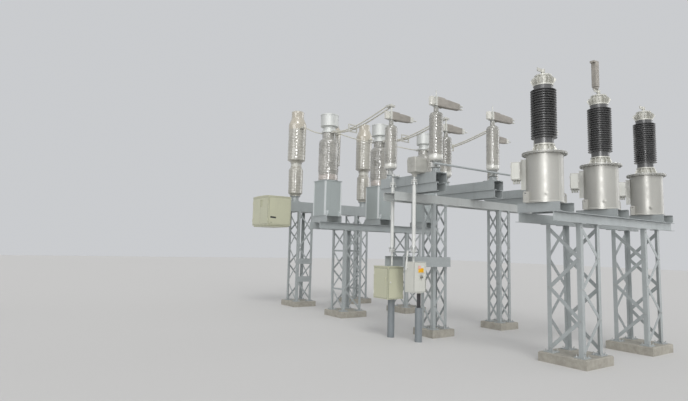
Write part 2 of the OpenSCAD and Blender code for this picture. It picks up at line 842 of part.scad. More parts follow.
// Fixed bearing housing with the spindle's bore
module bearing() {
    bore_d = bearing_h - 15;
    difference() {
        rotate_extrude($fn = 72)
            polygon([[0, 0], [bearing_r, 0], [bearing_r, 16], [bearing_r - 22, 26],
                [bearing_r - 34, bearing_h], [0, bearing_h]]);
        translate([0, 0, bearing_h - bore_d]) cylinder(r = spindle_r + run_gap, h = bore_d + 1, $fn = 64);
    }
}

module ds_bearings() {
    color("#8f9696") bay()
        for (ph = phases, y = [near_y, far_y])
            translate([ph * phase_gap, y, z_base_top]) bearing();
}

// One post: spindle, foot casting, porcelain and cap, turning on its axis
module post_body() {
    cap_r = post_core_r + 22;
    neck = 20;
    rotate_extrude($fn = 64)
        polygon(concat(
            [[0, -70], [spindle_r, -70], [spindle_r, 0], [bearing_r - 10, 0], [bearing_r - 10, 14],
                [post_core_r - 10, 40], [post_core_r - 10, post_foot_h - 45], [cap_r, post_foot_h - 35],
                [cap_r, post_foot_h]],
            [for (p = shed_points(post_core_r, post_shed_r, post_ins_h, post_sheds, neck, neck))
                [p.x, p.y + post_foot_h]],
            [[post_core_r, post_foot_h + post_ins_h], [cap_r, post_foot_h + post_ins_h],
                [cap_r, post_foot_h + post_ins_h + 45], [45, post_foot_h + post_ins_h + 70],
                [45, post_foot_h + post_ins_h + post_cap_h], [0, post_foot_h + post_ins_h + post_cap_h]]));
}

// Lever with its pin, pointing half way between the two end positions
module lever() {
    lever_w = 52;
    pin_h = 40;
    translate([0, 0, z_lever - z_post]) {
        translate([0, -lever_w / 2, 0]) cube([lever_r, lever_w, lever_t]);
        translate([lever_r, 0, 0]) cylinder(r = lever_w / 2, h = lever_t, $fn = 48);
        translate([lever_r, 0, 0]) cylinder(r = pin_r, h = pin_h, $fn = 48);
    }
}

module post_near(k) {
    color("#8d8780") bay()
        translate([(k - 2) * phase_gap, near_y, z_post]) {
            post_body();
            rotate(-135) lever();
        }
}

module post_far(k) {
    color("#8d8780") bay()
        translate([(k - 2) * phase_gap, far_y, z_post]) post_body();
}

// Head block and the arm's body, pointing along +x, as the disconnector stands open
module arm_body() {
    stub = 150;
    stub_w = 70;
    stub_h = 100;
    tip_h = 0.72 * arm_h;
    translate([-head_w / 2, -head_w / 2, z_head]) cube([head_w, head_w, head_h]);
    translate([0, arm_t / 2, z_arm])
        rotate([90, 0, 0])
            linear_extrude(arm_t)
                polygon([[0, -arm_h / 2], [0.5 * arm_len, -arm_h / 2], [arm_len, -tip_h / 2],
                    [arm_len, tip_h / 2], [0.5 * arm_len, arm_h / 2], [0, arm_h / 2]]);
    translate([-stub, -stub_w / 2, z_arm - stub_h / 2]) cube([stub, stub_w, stub_h]);
}

// Contact fork: one finger above and one below the blade
module fork() {
    finger_t = 20;
    finger_w = 60;
    root = 20;
    for (side = sides)
        translate([arm_len - root, -finger_w / 2,
            z_arm + side * (blade_t / 2 + fork_clear + finger_t / 2) - finger_t / 2])
            cube([blade_reach - arm_len + root, finger_w, finger_t]);
}

module blade() {
    root = 20;
    blade_w = 50;
    translate([arm_len - root, -blade_w / 2, z_arm - blade_t / 2])
        cube([blade_reach - arm_len + root, blade_w, blade_t]);
}

module arm_near(k) {
    spike_r = 9;
    spike_h = 150;
    color("#9a938a") bay()
        translate([(k - 2) * phase_gap, near_y, 0]) {
            arm_body();
            fork();
            translate([0, 0, z_head + head_h - fuse]) cylinder(r = spike_r, h = spike_h, $fn = 24);
        }
}

module arm_far(k) {
    swivel_h = 190;
    color("#9a938a") bay()
        translate([(k - 2) * phase_gap, far_y, 0]) {
            arm_body();
            blade();
            translate([0, 0, z_head + head_h - fuse]) cylinder(r = swivel_r, h = swivel_h, $fn = 48);
        }
}

// Phase coupling: one tube with an eye at each near post's lever pin
module phase_rod() {
    eye_t = 12;
    eye_r = 28;
    offset_y = -48;
    tail = 90;
    z_eye = z_lever + lever_t + 6;
    color("#aeb2b0") bay()
        translate([-lever_r * cos(45), near_y - lever_r * sin(45), z_eye])
            difference() {
                union() {
                    translate([-phase_gap - tail, offset_y, eye_t / 2])
                        rotate([0, 90, 0]) cylinder(r = rod_r, h = 2 * (phase_gap + tail), $fn = 48);
                    for (ph = phases)
                        translate([ph * phase_gap, 0, 0]) {
                            cylinder(r = eye_r, h = eye_t, $fn = 48);
                            translate([-eye_r, offset_y, 0]) cube([2 * eye_r, -offset_y, eye_t]);
                        }
                }
                for (ph = phases)
                    translate([ph * phase_gap, 0, -1]) cylinder(r = pin_r + run_gap, h = eye_t + 2, $fn = 48);
            }
}

// Bracket channels on the near tower that carry the two drive boxes
bracket_x0 = drive_x - 150;
bracket_x1 = -tower_gap / 2 + ds_tower_x / 2;
bracket_len = bracket_x1 - bracket_x0;
shelf_t = 10;
shaft_r = 24;
tip_r = 20;
hand_back = -bracket_y - bracket_b;
hand_down = 90;
hand_top = z_bracket + bracket_h - hand_down;
hand_x0 = drive_x + hand_shift - hand_x / 2;
hand_y_mid = hand_back - hand_y / 2;
hand_riser_x = hand_x0 + hand_x - riser_r;
cable_gap = 34;

module ds_brackets() {
    plate_t = 12;
    plate_w = 100;
    shelf_w = 220;
    shelf_rim = 90;
    block_x = leg_w;
    color("#a7adab") bay() {
        translate([(bracket_x0 + bracket_x1) / 2, -bracket_y - bracket_b, z_bracket])
            channel_x(bracket_len, bracket_h, bracket_b, -1);
        difference() {
            translate([(bracket_x0 + bracket_x1) / 2, bracket_y + bracket_b, z_bracket])
                channel_x(bracket_len, bracket_h, bracket_b, 1);
            translate([drive_x, second_y, z_bracket - 1])
                cylinder(r = shaft_r + run_gap, h = bracket_h + 2, $fn = 48);
        }
        for (side = sides, x = [bracket_x1 - ds_tower_x, bracket_x1 - block_x])
            translate([x, side > 0 ? ds_tower_y / 2 : -bracket_y, z_bracket])
                cube([block_x, bracket_off, bracket_h]);
        difference() {
            translate([drive_x - plate_w / 2, second_y - plate_w / 2, z_second_top - plate_t])
                cube([-phase_gap - base_w / 2 - drive_x + plate_w / 2, plate_w, plate_t]);
            translate([drive_x, second_y, z_second_top - plate_t - 1])
                cylinder(r = tip_r + run_gap, h = plate_t + 2, $fn = 48);
        }
        difference() {
            translate([drive_x - shelf_w / 2, main_y - shelf_rim, z_bracket + bracket_h])
                cube([shelf_w, -bracket_y - main_y + shelf_rim, shelf_t]);
            translate([drive_x, main_y, z_bracket + bracket_h - 1])
                cylinder(r = shaft_r + run_gap, h = shelf_t + 2, $fn = 48);
        }
    }
}

// Wrapped gear box on the first pole's base, over the main drive tube, its upper edges bevelled
module ds_gear_box() {
    z = z_base_top - base_plate_t;
    x0 = drive_x - 80;
    x1 = -phase_gap - base_w / 2 + gear_w / 2;
    slim = 30;
    bevel = 55;
    bore_h = 60;
    y0 = main_y - gear_w / 2 + slim;
    y1 = main_y + gear_w / 2 - slim;
    color("#a8a59e") bay()
        difference() {
            translate([x0, 0, z])
                rotate([90, 0, 90])
                    linear_extrude(x1 - x0)
                        polygon([[y0 + bevel / 2, 0], [y1 - bevel / 2, 0], [y1, bevel], [y1, gear_h - bevel],
                            [y1 - bevel, gear_h], [y0 + bevel, gear_h], [y0, gear_h - bevel], [y0, bevel]]);
            translate([drive_x, main_y, z - 1]) cylinder(r = tip_r + run_gap, h = bore_h + 1, $fn = 48);
        }
}

// Motor box with a door on its front and a latch bar beside it
module ds_motor_box() {
    roof_t = 14;
    door_rim = 22;
    door_t = 6;
    latch = [14, 10, 110];
    color("#c9c9ae") bay()
        translate([drive_x - motor_shift - motor_x / 2, second_y - motor_y / 2, z_bracket - motor_h]) {
            cube([motor_x, motor_y, motor_h - roof_t]);
            translate([-door_rim / 2, -door_rim / 2, motor_h - roof_t])
                cube([motor_x + door_rim / 2, motor_y + door_rim / 2, roof_t]);
            translate([-door_t, door_rim, door_rim])
                cube([door_t + fuse, motor_y - 2 * door_rim, motor_h - 3 * door_rim]);
            translate([door_rim, -door_t, door_rim])
                cube([motor_x - 2 * door_rim, door_t + fuse, motor_h - 3 * door_rim]);
            translate([-door_t - latch.y, door_rim + 3 * latch.x, motor_h / 2])
                cube([latch.y + fuse, latch.x, latch.z]);
        }
}

// Hand drive box with its door, the knob's plate and a grip
module ds_hand_box() {
    door_rim = 16;
    door_t = hand_door_t;
    plate = [110, knob_plate_t, 130];
    grip = [24, 26, 60];
    color("#cfccbe") bay()
        translate([hand_x0, hand_back - hand_y, hand_top - hand_h]) {
            cube([hand_x, hand_y, hand_h]);
            translate([door_rim, -door_t, door_rim])
                cube([hand_x - 2 * door_rim, door_t + fuse, hand_h - 2 * door_rim]);
            translate([knob_in - plate.x / 2, -door_t - plate.y, hand_h - knob_down - plate.z / 2])
                cube([plate.x, plate.y + fuse, plate.z]);
            translate([knob_in - grip.x / 2, -door_t - grip.y, hand_h - knob_down - plate.z / 2 - 2 * grip.z])
                cube([grip.x, grip.y + fuse, grip.z]);
        }
}

// Switch knob on the hand drive box: a disc with a raised grip bar
module ds_hand_knob() {
    disc_t = 14;
    bar_t = 22;
    bar_w = 20;
    front = hand_door_t + knob_plate_t;
    color("#e0b020") bay()
        translate([hand_x0 + knob_in, hand_back - hand_y - front, hand_top - knob_down])
            rotate([90, 0, 0]) {
                cylinder(r = knob_r, h = disc_t, $fn = 48);
                translate([-bar_w / 2, -knob_r + 2, disc_t - fuse]) cube([bar_w, 2 * knob_r - 4, bar_t]);
            }
}

// Cables from the hand drive box down into its riser
module ds_box_cables() {
    color("#2b2d2f") bay()
        for (k = [-1 : 1])
            translate([hand_riser_x + k * cable_gap, hand_y_mid, hand_riser_h])
                cylinder(r = cable_r, h = hand_top - hand_h - hand_riser_h, $fn = 32);
}

module ds_risers() {
    color("#6f7579") bay() {
        translate([drive_x, second_y, 0]) cylinder(r = riser_r, h = z_bracket - motor_h, $fn = 48);
        translate([hand_riser_x, hand_y_mid, 0]) cylinder(r = riser_r, h = hand_riser_h, $fn = 48);
    }
}

// A vertical drive tube with its couplings, from the box below to the gear above
module drive_tube(z0, z1, low, high) {
    rim = 22;
    disc_t = 16;
    translate([0, 0, z0]) cylinder(r = tube_r, h = z1 - z0, $fn = 48);
    for (z = [z0, z0 + 2 * disc_t, z1 - 3 * disc_t, z1 - disc_t])
        translate([0, 0, z]) cylinder(r = tube_r + rim, h = disc_t, $fn = 48);
    translate([0, 0, low]) cylinder(r = shaft_r, h = z0 - low + 1, $fn = 48);
    translate([0, 0, z1 - 1]) cylinder(r = tip_r, h = high - z1 + 1, $fn = 48);
}

module main_drive_tube() {
    color("#d6d7d2") bay()
        translate([drive_x, main_y, 0])
            drive_tube(z_tube_low, z_tube_high, hand_top + run_gap, z_base_top);
}

// The second tube turns in a bearing plate on the base and ends in a crank
module second_drive_tube() {
    crank_z = z_second_top + 14;
    crank_l = 150;
    crank_w = 36;
    crank_t = 14;
    boss_h = 28;
    pin_h = 34;
    color("#d6d7d2") bay()
        translate([drive_x, second_y, 0]) {
            drive_tube(z_tube_low, z_tube_high, z_bracket + run_gap, crank_z + crank_t);
            translate([0, -crank_w / 2, crank_z]) cube([crank_l, crank_w, crank_t]);
            translate([crank_l, 0, crank_z]) cylinder(r = 0.7 * crank_w, h = pin_h, $fn = 48);
            translate([0, 0, crank_z]) cylinder(r = 0.9 * crank_w, h = boss_h, $fn = 48);
        }
}

// A current transformer tank with corner trims, lid and foot lugs
module ct_tank() {
    trim = 26;
    trim_out = 6;
    trim_end = 15;
    lid_t = 20;
    lid_out = 12;
    lug_in = 60;
    lug_h = 130;
    translate([-ct_tank_x / 2, -ct_tank_y / 2, 0]) cube([ct_tank_x, ct_tank_y, ct_tank_h]);
    for (sx = sides, sy = sides)
        translate([sx * (ct_tank_x - trim) / 2, sy * (ct_tank_y - trim) / 2, ct_tank_h / 2])
            cube([trim + 2 * trim_out, trim + 2 * trim_out, ct_tank_h - 2 * trim_end], center = true);
    translate([-ct_tank_x / 2 - lid_out, -ct_tank_y / 2 - lid_out, ct_tank_h - lid_t])
        cube([ct_tank_x + 2 * lid_out, ct_tank_y + 2 * lid_out, lid_t]);
    for (sy = sides, sx = sides)
        translate([sx * (ct_tank_x / 2 - lug_in), 0, 0]) rotate(sy * 90) foot_lug(ct_tank_y / 2, lug_h);
}

// Places each phase's current transformer, with z = 0 at the height z
module each_ct(z) {
    for (ph = phases) translate([ph * phase_gap, ct_y, z]) children();
}

module ct_tanks() {
    color("#8e9a9f") bay() each_ct(z_ct_tank) ct_tank();
}

module ct_porcelains() {
    neck = 30;
    color("#8d8780") bay()
        each_ct(z_ct_ins) shedded(ct_core_r, ct_shed_r, ct_ins_h, ct_sheds, neck, neck);
}

// Flange under the porcelain, neck, ring and the round head with its lid and terminal pads
module ct_head() {
    step = 10;
    lid_t = 26;
    lid_out = 8;
    translate([0, 0, z_ct_flange]) cylinder(r = ct_foot_r, h = ct_flange_h, $fn = 72);
    rotate_extrude($fn = 96)
        polygon([[0, z_ct_neck], [ct_neck_r, z_ct_neck], [ct_neck_r, z_ct_ring], [ct_ring_r, z_ct_ring],
            [ct_ring_r, z_ct_ring + ct_ring_h], [ct_neck_r - step, z_ct_ring + ct_ring_h + step],
            [ct_neck_r - step, z_ct_head - 2 * step], [ct_head_r - step, z_ct_head],
            [ct_head_r, z_ct_head + step], [ct_head_r, z_ct_head + ct_head_h - 2 * lid_t],
            [ct_head_r + lid_out, z_ct_head + ct_head_h - 2 * lid_t],
            [ct_head_r + lid_out, z_ct_head + ct_head_h - lid_t],
            [ct_head_r - 2 * lid_t, z_ct_head + ct_head_h], [0, z_ct_head + ct_head_h]]);
    for (side = sides)
        translate([-pad_w / 2, side > 0 ? 0 : -ct_ring_r - pad_out, z_ct_pad])
            cube([pad_w, ct_ring_r + pad_out, pad_t]);
}

module ct_heads() {
    color("#b9bcb8") bay() each_ct(0) ct_head();
}

// A film tube of radius r and height h. It lies on the radius r0 over low_hem and on r1 over high_hem,
// and widens between them over low_rise and high_rise.
module film(r0, low_hem, low_rise, r, r1, high_hem, high_rise, h) {
    a = r0 + run_gap;
    b = r1 + run_gap;
    low = low_hem + low_rise;
    high = h - high_hem - high_rise;
    rotate_extrude($fn = 72)
        polygon([[a, 0], [a + film_t, 0], [a + film_t, low_hem], [r, low], [r, high],
            [b + film_t, h - high_hem], [b + film_t, h], [b, h], [b, h - high_hem], [r - film_t, high],
            [r - film_t, low], [a, low_hem]]);
}

module ct_film() {
    on_flange = 20;
    foot_hem = 250;
    foot_rise = 45;
    neck_hem = ct_ring_up - 70;
    shoulder = 100;
    color("#bdbab2") bay()
        each_ct(z_ct_flange + on_flange)
            film(ct_foot_r, foot_hem, foot_rise, ct_film_r, ct_neck_r, neck_hem, shoulder,
                z_ct_ring - z_ct_flange - on_flange);
}

// The breaker's beam, a closed box section that carries the three poles
module cb_beam() {
    len = 2 * (pole_gap + cabinet_gap);
    color("#8f979a") bay()
        translate([-len / 2, cb_y - cb_beam_w / 2, z_cb_beam]) cube([len, cb_beam_w, cb_beam_h]);
}

// Places each pole of the breaker, with z = 0 at the height z
module each_pole(z) {
    for (ph = phases) translate([ph * pole_gap, cb_y, z]) children();
}

module cb_feet() {
    base_t = 22;
    waist = 110;
    cap_t = 45;
    color("#9ba1a2") bay()
        each_pole(z_cb_foot)
            rotate_extrude($fn = 64)
                polygon([[0, 0], [cb_foot_r + 5, 0], [cb_foot_r + 5, base_t], [waist, base_t + 8],
                    [waist, cb_foot_h - cap_t - 20], [cb_foot_r, cb_foot_h - cap_t], [cb_foot_r, cb_foot_h],
                    [0, cb_foot_h]]);
}

module cb_porcelains() {
    low_sheds = 13;
    up_sheds = 15;
    neck = 40;
    color("#8d8780") bay() {
        each_pole(z_cb_low) shedded(cb_low_core, cb_low_shed, cb_low_h, low_sheds, neck, 3 * neck);
        each_pole(z_cb_up) shedded(cb_up_core, cb_up_shed, cb_up_h, up_sheds, 3 * neck, neck);
    }
}

// Casting between the insulators, and the head that narrows to its neck and terminal pad
module cb_castings() {
    shoulder_r = cb_up_core + 50;
    shoulder_t = 30;
    taper = 160;
    color("#b7b9b5") bay() {
        each_pole(z_cb_mid) cylinder(r = cb_ring_r, h = cb_mid_h, $fn = 64);
        each_pole(z_cb_top) {
            rotate_extrude($fn = 64)
                polygon([[0, 0], [shoulder_r, 0], [shoulder_r, shoulder_t], [cb_neck_r, shoulder_t + taper],
                    [cb_neck_r, cb_top_h - pad_t], [cb_neck_r - pad_t, cb_top_h], [0, cb_top_h]]);
            translate([-pad_w / 2, -cb_up_film - cb_pad_out, cb_pad_up - pad_t])
                cube([pad_w, cb_up_film + cb_pad_out, pad_t]);
        }
    }
}

// Film over each of the breaker's insulators. The upper one has a slot for the terminal pad.
module cb_film() {
    hem = 30;
    neck_hem = 190;
    slot_clear = 6;
    low_foot_rise = 0.28 * cb_low_film;
    low_ring_rise = 0.32 * cb_low_film;
    up_foot_rise = 0.22 * cb_up_film;
    up_neck_rise = 0.8 * cb_up_film;
    color("#bcb2a4") bay() {
        each_pole(z_cb_low - hem)
            film(cb_foot_r, hem, low_foot_rise, cb_low_film,
                cb_ring_r, hem, low_ring_rise, cb_low_h + 2 * hem);
        difference() {
            each_pole(z_cb_up - hem)
                film(cb_ring_r, hem, up_foot_rise, cb_up_film, cb_neck_r, neck_hem, up_neck_rise,
                    cb_up_h + hem + cb_film_up);
            each_pole(z_cb_pad - pad_t - slot_clear)
                translate([-pad_w / 2 - slot_clear, -cb_up_film - slot_clear, 0])
                    cube([pad_w + 2 * slot_clear, cb_up_film, pad_t + 2 * slot_clear]);
        }
    }
}

// Mechanism cabinet: body on a foot rail, panels, handle recess and a domed roof
module cb_cabinet() {
    roof_t = 20;
    dome = 16;
    rail_in = 30;
    rail_h = 40;
    panel_t = 5;
    panel_rim = 30;
    recess = [12, 120, 205];
    grip = [8, 30, 165];
    half = cabinet_y / 2;
    body_h = cabinet_h - roof_t - rail_h;
    recess_at = [0.375, 0.64];
    recess_y = recess_at.x * cabinet_y - half;
    recess_z = rail_h + recess_at.y * body_h;
    color("#bfbd9e") bay()
        translate([cabinet_x0, cb_y, z_cb_foot + cabinet_up - cabinet_h]) {
            translate([rail_in, -half + rail_in, 0])
                cube([cabinet_x - 2 * rail_in, cabinet_y - 2 * rail_in, rail_h]);
            difference() {
                union() {
                    translate([0, -half, rail_h]) cube([cabinet_x, cabinet_y, body_h]);
                    translate([-panel_t, -half + panel_rim, rail_h + panel_rim])
                        cube([panel_t + fuse, cabinet_y - 2 * panel_rim, body_h - 2 * panel_rim]);
                    translate([panel_rim, -half - panel_t, rail_h + panel_rim])
                        cube([cabinet_x - 2 * panel_rim, panel_t + fuse, body_h - 2 * panel_rim]);
                }
                translate([-panel_t - fuse, recess_y, recess_z])
                    cube([recess.x + panel_t + fuse, recess.y, recess.z]);
            }
            translate([-panel_t, recess_y + (recess.y - grip.y) / 2, recess_z + (recess.z - grip.z) / 2])
                cube([recess.x + panel_t + fuse, grip.y, grip.z]);
            translate([-roof_over, 0, cabinet_h - roof_t])
                rotate([90, 0, 90])
                    linear_extrude(cabinet_x + roof_over)
                        polygon([[-half - roof_over, 0], [half + roof_over, 0],
                            [half + roof_over, roof_t], [half / 2, roof_t + dome],
                            [-half / 2, roof_t + dome], [-half - roof_over, roof_t]]);
        }
}

// Point at t from 0 to 1 on a cubic curve with four control points
function curve_at(p, t) =
    pow(1 - t, 3) * p[0] + 3 * t * pow(1 - t, 2) * p[1] + 3 * t * t * (1 - t) * p[2] + t * t * t * p[3];

// A conductor swept along a cubic curve that ends on two faces square to Y
module wire(p, r) {
    rings = wire_rings;
    n = 8;
    path = [for (i = [0 : rings]) curve_at(p, i / rings)];
    function dir_at(i) =
        let (d = path[min(i + 1, rings)] - path[max(i - 1, 0)])
        i == 0 || i == rings ? [0, 1, 0] : d / norm(d);
    points = [for (i = [0 : rings])
        let (d = dir_at(i), s = cross(d, [0, 0, 1]) / norm(cross(d, [0, 0, 1])), u = cross(s, d))
        for (k = [0 : n - 1])
            path[i] + r * (cos(k * 360 / n) * s + sin(k * 360 / n) * u)];
    faces = concat(
        [[for (k = [n - 1 : -1 : 0]) k]],
        [for (i = [0 : rings - 1], k = [0 : n - 1])
            [i * n + k, i * n + (k + 1) % n, (i + 1) * n + (k + 1) % n, (i + 1) * n + k]],
        [[for (k = [0 : n - 1]) rings * n + k]]);
    polyhedron(points, faces);
}

z_swivel = z_head + head_h + 120;
swivel_r = 20;
z_ct_pad = z_ct_ring + (ct_ring_h - pad_t) / 2;

clamp_rim = 20;
swivel_clamp_l = 150;
swivel_clamp_h = 40;
twin_clamp_l = 104;
twin_clamp_h = 60;
single_clamp = [50, 90, 44];
wire_rings = 14;
spacer_ring = 9;

// Route of a twin conductor, from the swivel clamp on the far post to the clamp under the terminal pad
z_swivel_mid = z_swivel + swivel_clamp_h / 2;
z_twin_end = z_ct_pad - twin_clamp_h / 2;
y_twin_start = far_y - 2 * swivel_r + swivel_clamp_l;
y_twin_end = ct_y - ct_ring_r - pad_out;
y_twin_third = (y_twin_end - y_twin_start) / 3;
twin_path = [[0, y_twin_start, z_swivel_mid], [0, y_twin_start + y_twin_third, z_swivel_mid - twin_sag],
    [0, y_twin_end - y_twin_third, z_twin_end - twin_sag], [0, y_twin_end, z_twin_end]];

// Route of a single conductor, from the clamp on the terminal pad to the one on the breaker's head
wire_rise = 90;
wire_slack = 450;
y_single_start = ct_y + ct_ring_r + pad_out;
y_single_end = cb_y - cb_up_film - cb_pad_out;
z_single_start = z_ct_pad + pad_t + single_clamp.z / 2;
z_single_end = z_cb_pad + single_clamp.z / 2;
function single_path(ph) = [[ph * phase_gap, y_single_start, z_single_start],
    [ph * phase_gap, y_single_start + wire_slack, z_single_start + wire_rise],
    [ph * pole_gap, y_single_end - wire_slack, z_single_end - 2 * wire_rise],
    [ph * pole_gap, y_single_end, z_single_end]];

// Clamps of the twin conductors: a swivel clamp on each far post and a flat one at each transformer
module twin_clamps() {
    wide = twin_gap + 2 * clamp_rim;
    color("#b9bab6") bay()
        for (ph = phases)
            translate([ph * phase_gap - wide / 2, 0, 0]) {
                difference() {
                    translate([0, far_y - 2 * swivel_r, z_swivel])
                        cube([wide, swivel_clamp_l, swivel_clamp_h]);
                    translate([wide / 2, far_y, z_swivel - 1])
                        cylinder(r = swivel_r + run_gap, h = swivel_clamp_h + 2, $fn = 48);
                }
                translate([0, y_twin_end, z_ct_pad - twin_clamp_h]) cube([wide, twin_clamp_l, twin_clamp_h]);
            }
}

module twin_wires() {
    color("#b9bab6") bay()
        for (ph = phases, side = sides)
            translate([ph * phase_gap + side * twin_gap / 2, 0, 0]) wire(twin_path, wire_r);
}

// A rectangular frame with a cross bar and two hubs holds the conductors of a twin apart
module twin_spacers() {
    past = 75;
    outer = [twin_gap + 2 * past, 24, 200];
    bar = 26;
    hub = 48;
    hub_clear = 0.8;
    place = spacer_ring / wire_rings;
    spot = curve_at(twin_path, place);
    ahead = curve_at(twin_path, place + 0.01) - curve_at(twin_path, place - 0.01);
    color("#b0b3b1") bay()
        for (ph = phases)
            translate([ph * phase_gap, 0, 0] + spot)
                rotate([atan2(ahead.z, ahead.y), 0, 0])
                    difference() {
                        union() {
                            difference() {
                                cube(outer, center = true);
                                for (side = sides)
                                    translate([0, 0, side * (outer.z - bar) / 4])
                                        cube([outer.x - 2 * bar, outer.y + 2, (outer.z - 3 * bar) / 2],
                                            center = true);
                            }
                            for (side = sides)
                                translate([side * twin_gap / 2, 0, 0]) rotate([90, 0, 0])
                                    cylinder(r = hub / 2, h = hub, center = true, $fn = 32);
                        }
                        for (side = sides)
                            translate([side * twin_gap / 2, 0, 0]) rotate([90, 0, 0])
                                cylinder(r = wire_r + hub_clear, h = hub + 2, center = true, $fn = 32);
                    }
}

// Clamps of the single conductors, on the transformers' and the breaker's terminal pads
module single_clamps() {
    color("#b9bab6") bay()
        for (ph = phases) {
            translate([ph * phase_gap - single_clamp.x / 2, y_single_start - single_clamp.y,
                z_ct_pad + pad_t])
                cube(single_clamp);
            translate([ph * pole_gap - single_clamp.x / 2, y_single_end, z_cb_pad]) cube(single_clamp);
        }
}

module single_wires() {
    color("#b9bab6") bay()
        for (ph = phases) wire(single_path(ph), wire_r);
}

plinths();
vt_towers();
ds_towers();
ct_towers();
cb_towers();
vt_beams();
vt_cross_channels();
vt_tanks();
vt_castings();
vt_bushings();
vt_terminals();
vt_wrapped_post();
vt_boxes();
ds_rails();
ds_pole_bases();
ds_bearings();
ds_brackets();
ds_gear_box();
ds_motor_box();
ds_hand_box();
ds_hand_knob();
ds_box_cables();
ds_risers();
ct_beams();
ct_cross_channels();
ct_tanks();
ct_porcelains();
ct_heads();
ct_film();
cb_face_plates();
cb_beam();
cb_feet();
cb_porcelains();
cb_castings();
cb_film();
cb_cabinet();
twin_clamps();
twin_wires();
twin_spacers();
single_clamps();
single_wires();
main_drive_tube();
second_drive_tube();
phase_rod();
post_near(1);  // post_near_1
post_near(2);  // post_near_2
post_near(3);  // post_near_3
post_far(1);  // post_far_1
post_far(2);  // post_far_2
post_far(3);  // post_far_3
arm_near(1);  // arm_near_1
arm_near(2);  // arm_near_2
arm_near(3);  // arm_near_3
arm_far(1);  // arm_far_1
arm_far(2);  // arm_far_2
arm_far(3);  // arm_far_3
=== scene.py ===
import json
import math

import bpy
from mathutils import Matrix, Vector, noise


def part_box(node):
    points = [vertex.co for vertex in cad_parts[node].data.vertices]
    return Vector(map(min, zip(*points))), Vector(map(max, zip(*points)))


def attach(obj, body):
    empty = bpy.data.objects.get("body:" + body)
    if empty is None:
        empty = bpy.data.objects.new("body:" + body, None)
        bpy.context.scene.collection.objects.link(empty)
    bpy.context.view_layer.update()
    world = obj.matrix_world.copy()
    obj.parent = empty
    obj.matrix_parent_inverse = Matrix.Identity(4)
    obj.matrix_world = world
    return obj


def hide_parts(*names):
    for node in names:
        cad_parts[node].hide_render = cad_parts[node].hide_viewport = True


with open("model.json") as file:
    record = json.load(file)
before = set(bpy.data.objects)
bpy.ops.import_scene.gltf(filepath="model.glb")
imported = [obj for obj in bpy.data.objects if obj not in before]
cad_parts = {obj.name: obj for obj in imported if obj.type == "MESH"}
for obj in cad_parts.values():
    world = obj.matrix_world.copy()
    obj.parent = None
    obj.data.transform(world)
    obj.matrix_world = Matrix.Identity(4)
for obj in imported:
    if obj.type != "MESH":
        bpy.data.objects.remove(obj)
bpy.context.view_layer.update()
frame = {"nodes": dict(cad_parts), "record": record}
scene = bpy.context.scene

# The disconnector's rails lie symmetrically about the bay's own zero, so their middle gives its place
rails_low, rails_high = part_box("ds_rails")
BAY = Vector(((rails_low.x + rails_high.x) / 2, (rails_low.y + rails_high.y) / 2, 0))

# Layout of the bay in metres, as the solids have it: the distances between the phases, the breaker's
# poles and the towers, then the middle of each row, the axes of the posts and drive tubes, and the
# heights of the tubes' couplings. VT and CT are the voltage and current transformers, DS is the
# disconnector and CB the circuit breaker
PHASE, POLE, TOWER_GAP = 1.7, 1.29, 2.1
VT_AT, DS_AT, CT_AT, CB_AT = (0.2, -2.92), (0, 0), (0, 3.23), (0, 5.73)
POST_Y = 0.69
DRIVE_X = -2.0
DRIVES = {"main_drive": -0.405, "second_drive": 0.2425}
COUPLING_Z = (1.7, 3.064)
PHASES = (-1, 0, 1)
SIDES = (-1, 1)
CORNERS = [(x, y) for x in SIDES for y in SIDES]
UP, DOWN, FRONT = (0, 0, 1), (0, 0, -1), (0, -1, 0)

# Every turning post: its name without the first word, its number in the row, its place across and along
POSTS = [("%s_%d" % (side, k + 1), k, phase * PHASE, y)
         for side, y in (("near", -POST_Y), ("far", POST_Y)) for k, phase in enumerate(PHASES)]

# Sizes that the solids share with the pieces made here: the posts' heads, the transformers' tanks, lids
# and flanges, the breaker's insulators, and how far the terminals reach from their axes
HEAD_H = 0.175
VT_TANK_R, VT_LID_R, VT_LID_T, VT_FOOT_R, VT_CROWN_R = 0.282, 0.344, 0.03, 0.196, 0.133
CT_HALF, CT_LID_T = (0.245, 0.275), 0.022
CT_TERMINAL, PAD_T = 0.195 + 0.115, 0.016
CB_LOW_H, CB_MID_H, CB_TERMINAL = 0.855, 0.155, 0.27 + 0.11

# Heights of the posts' glaze, and where the film over the current transformers, the breaker's poles and
# the posts changes
POST_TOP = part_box("post_near_1")[1].z
POST_GLAZE = (POST_TOP - 1.085, POST_TOP - 0.185)
CT_FILM_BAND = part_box("ct_film")[0].z + 0.14
CB_FILM_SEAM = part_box("cb_film")[1].z - 0.57
POST_FILM_BAND = POST_GLAZE[0] + 0.103


def show(name, data):
    """A new object with this data, linked into the scene."""
    o = bpy.data.objects.new(name, data)
    scene.collection.objects.link(o)
    return o


# Camera at the photograph's place
IMAGE_W, IMAGE_H = 688, 401
FOCAL_PX = 495
CENTRE_PX = (348, 196)
PITCH, ROLL = math.radians(6.0), math.radians(1.4)
HEADING = math.atan2(0.569, 0.822)
EYE = Vector((-8.53, -7.57, 1.75))


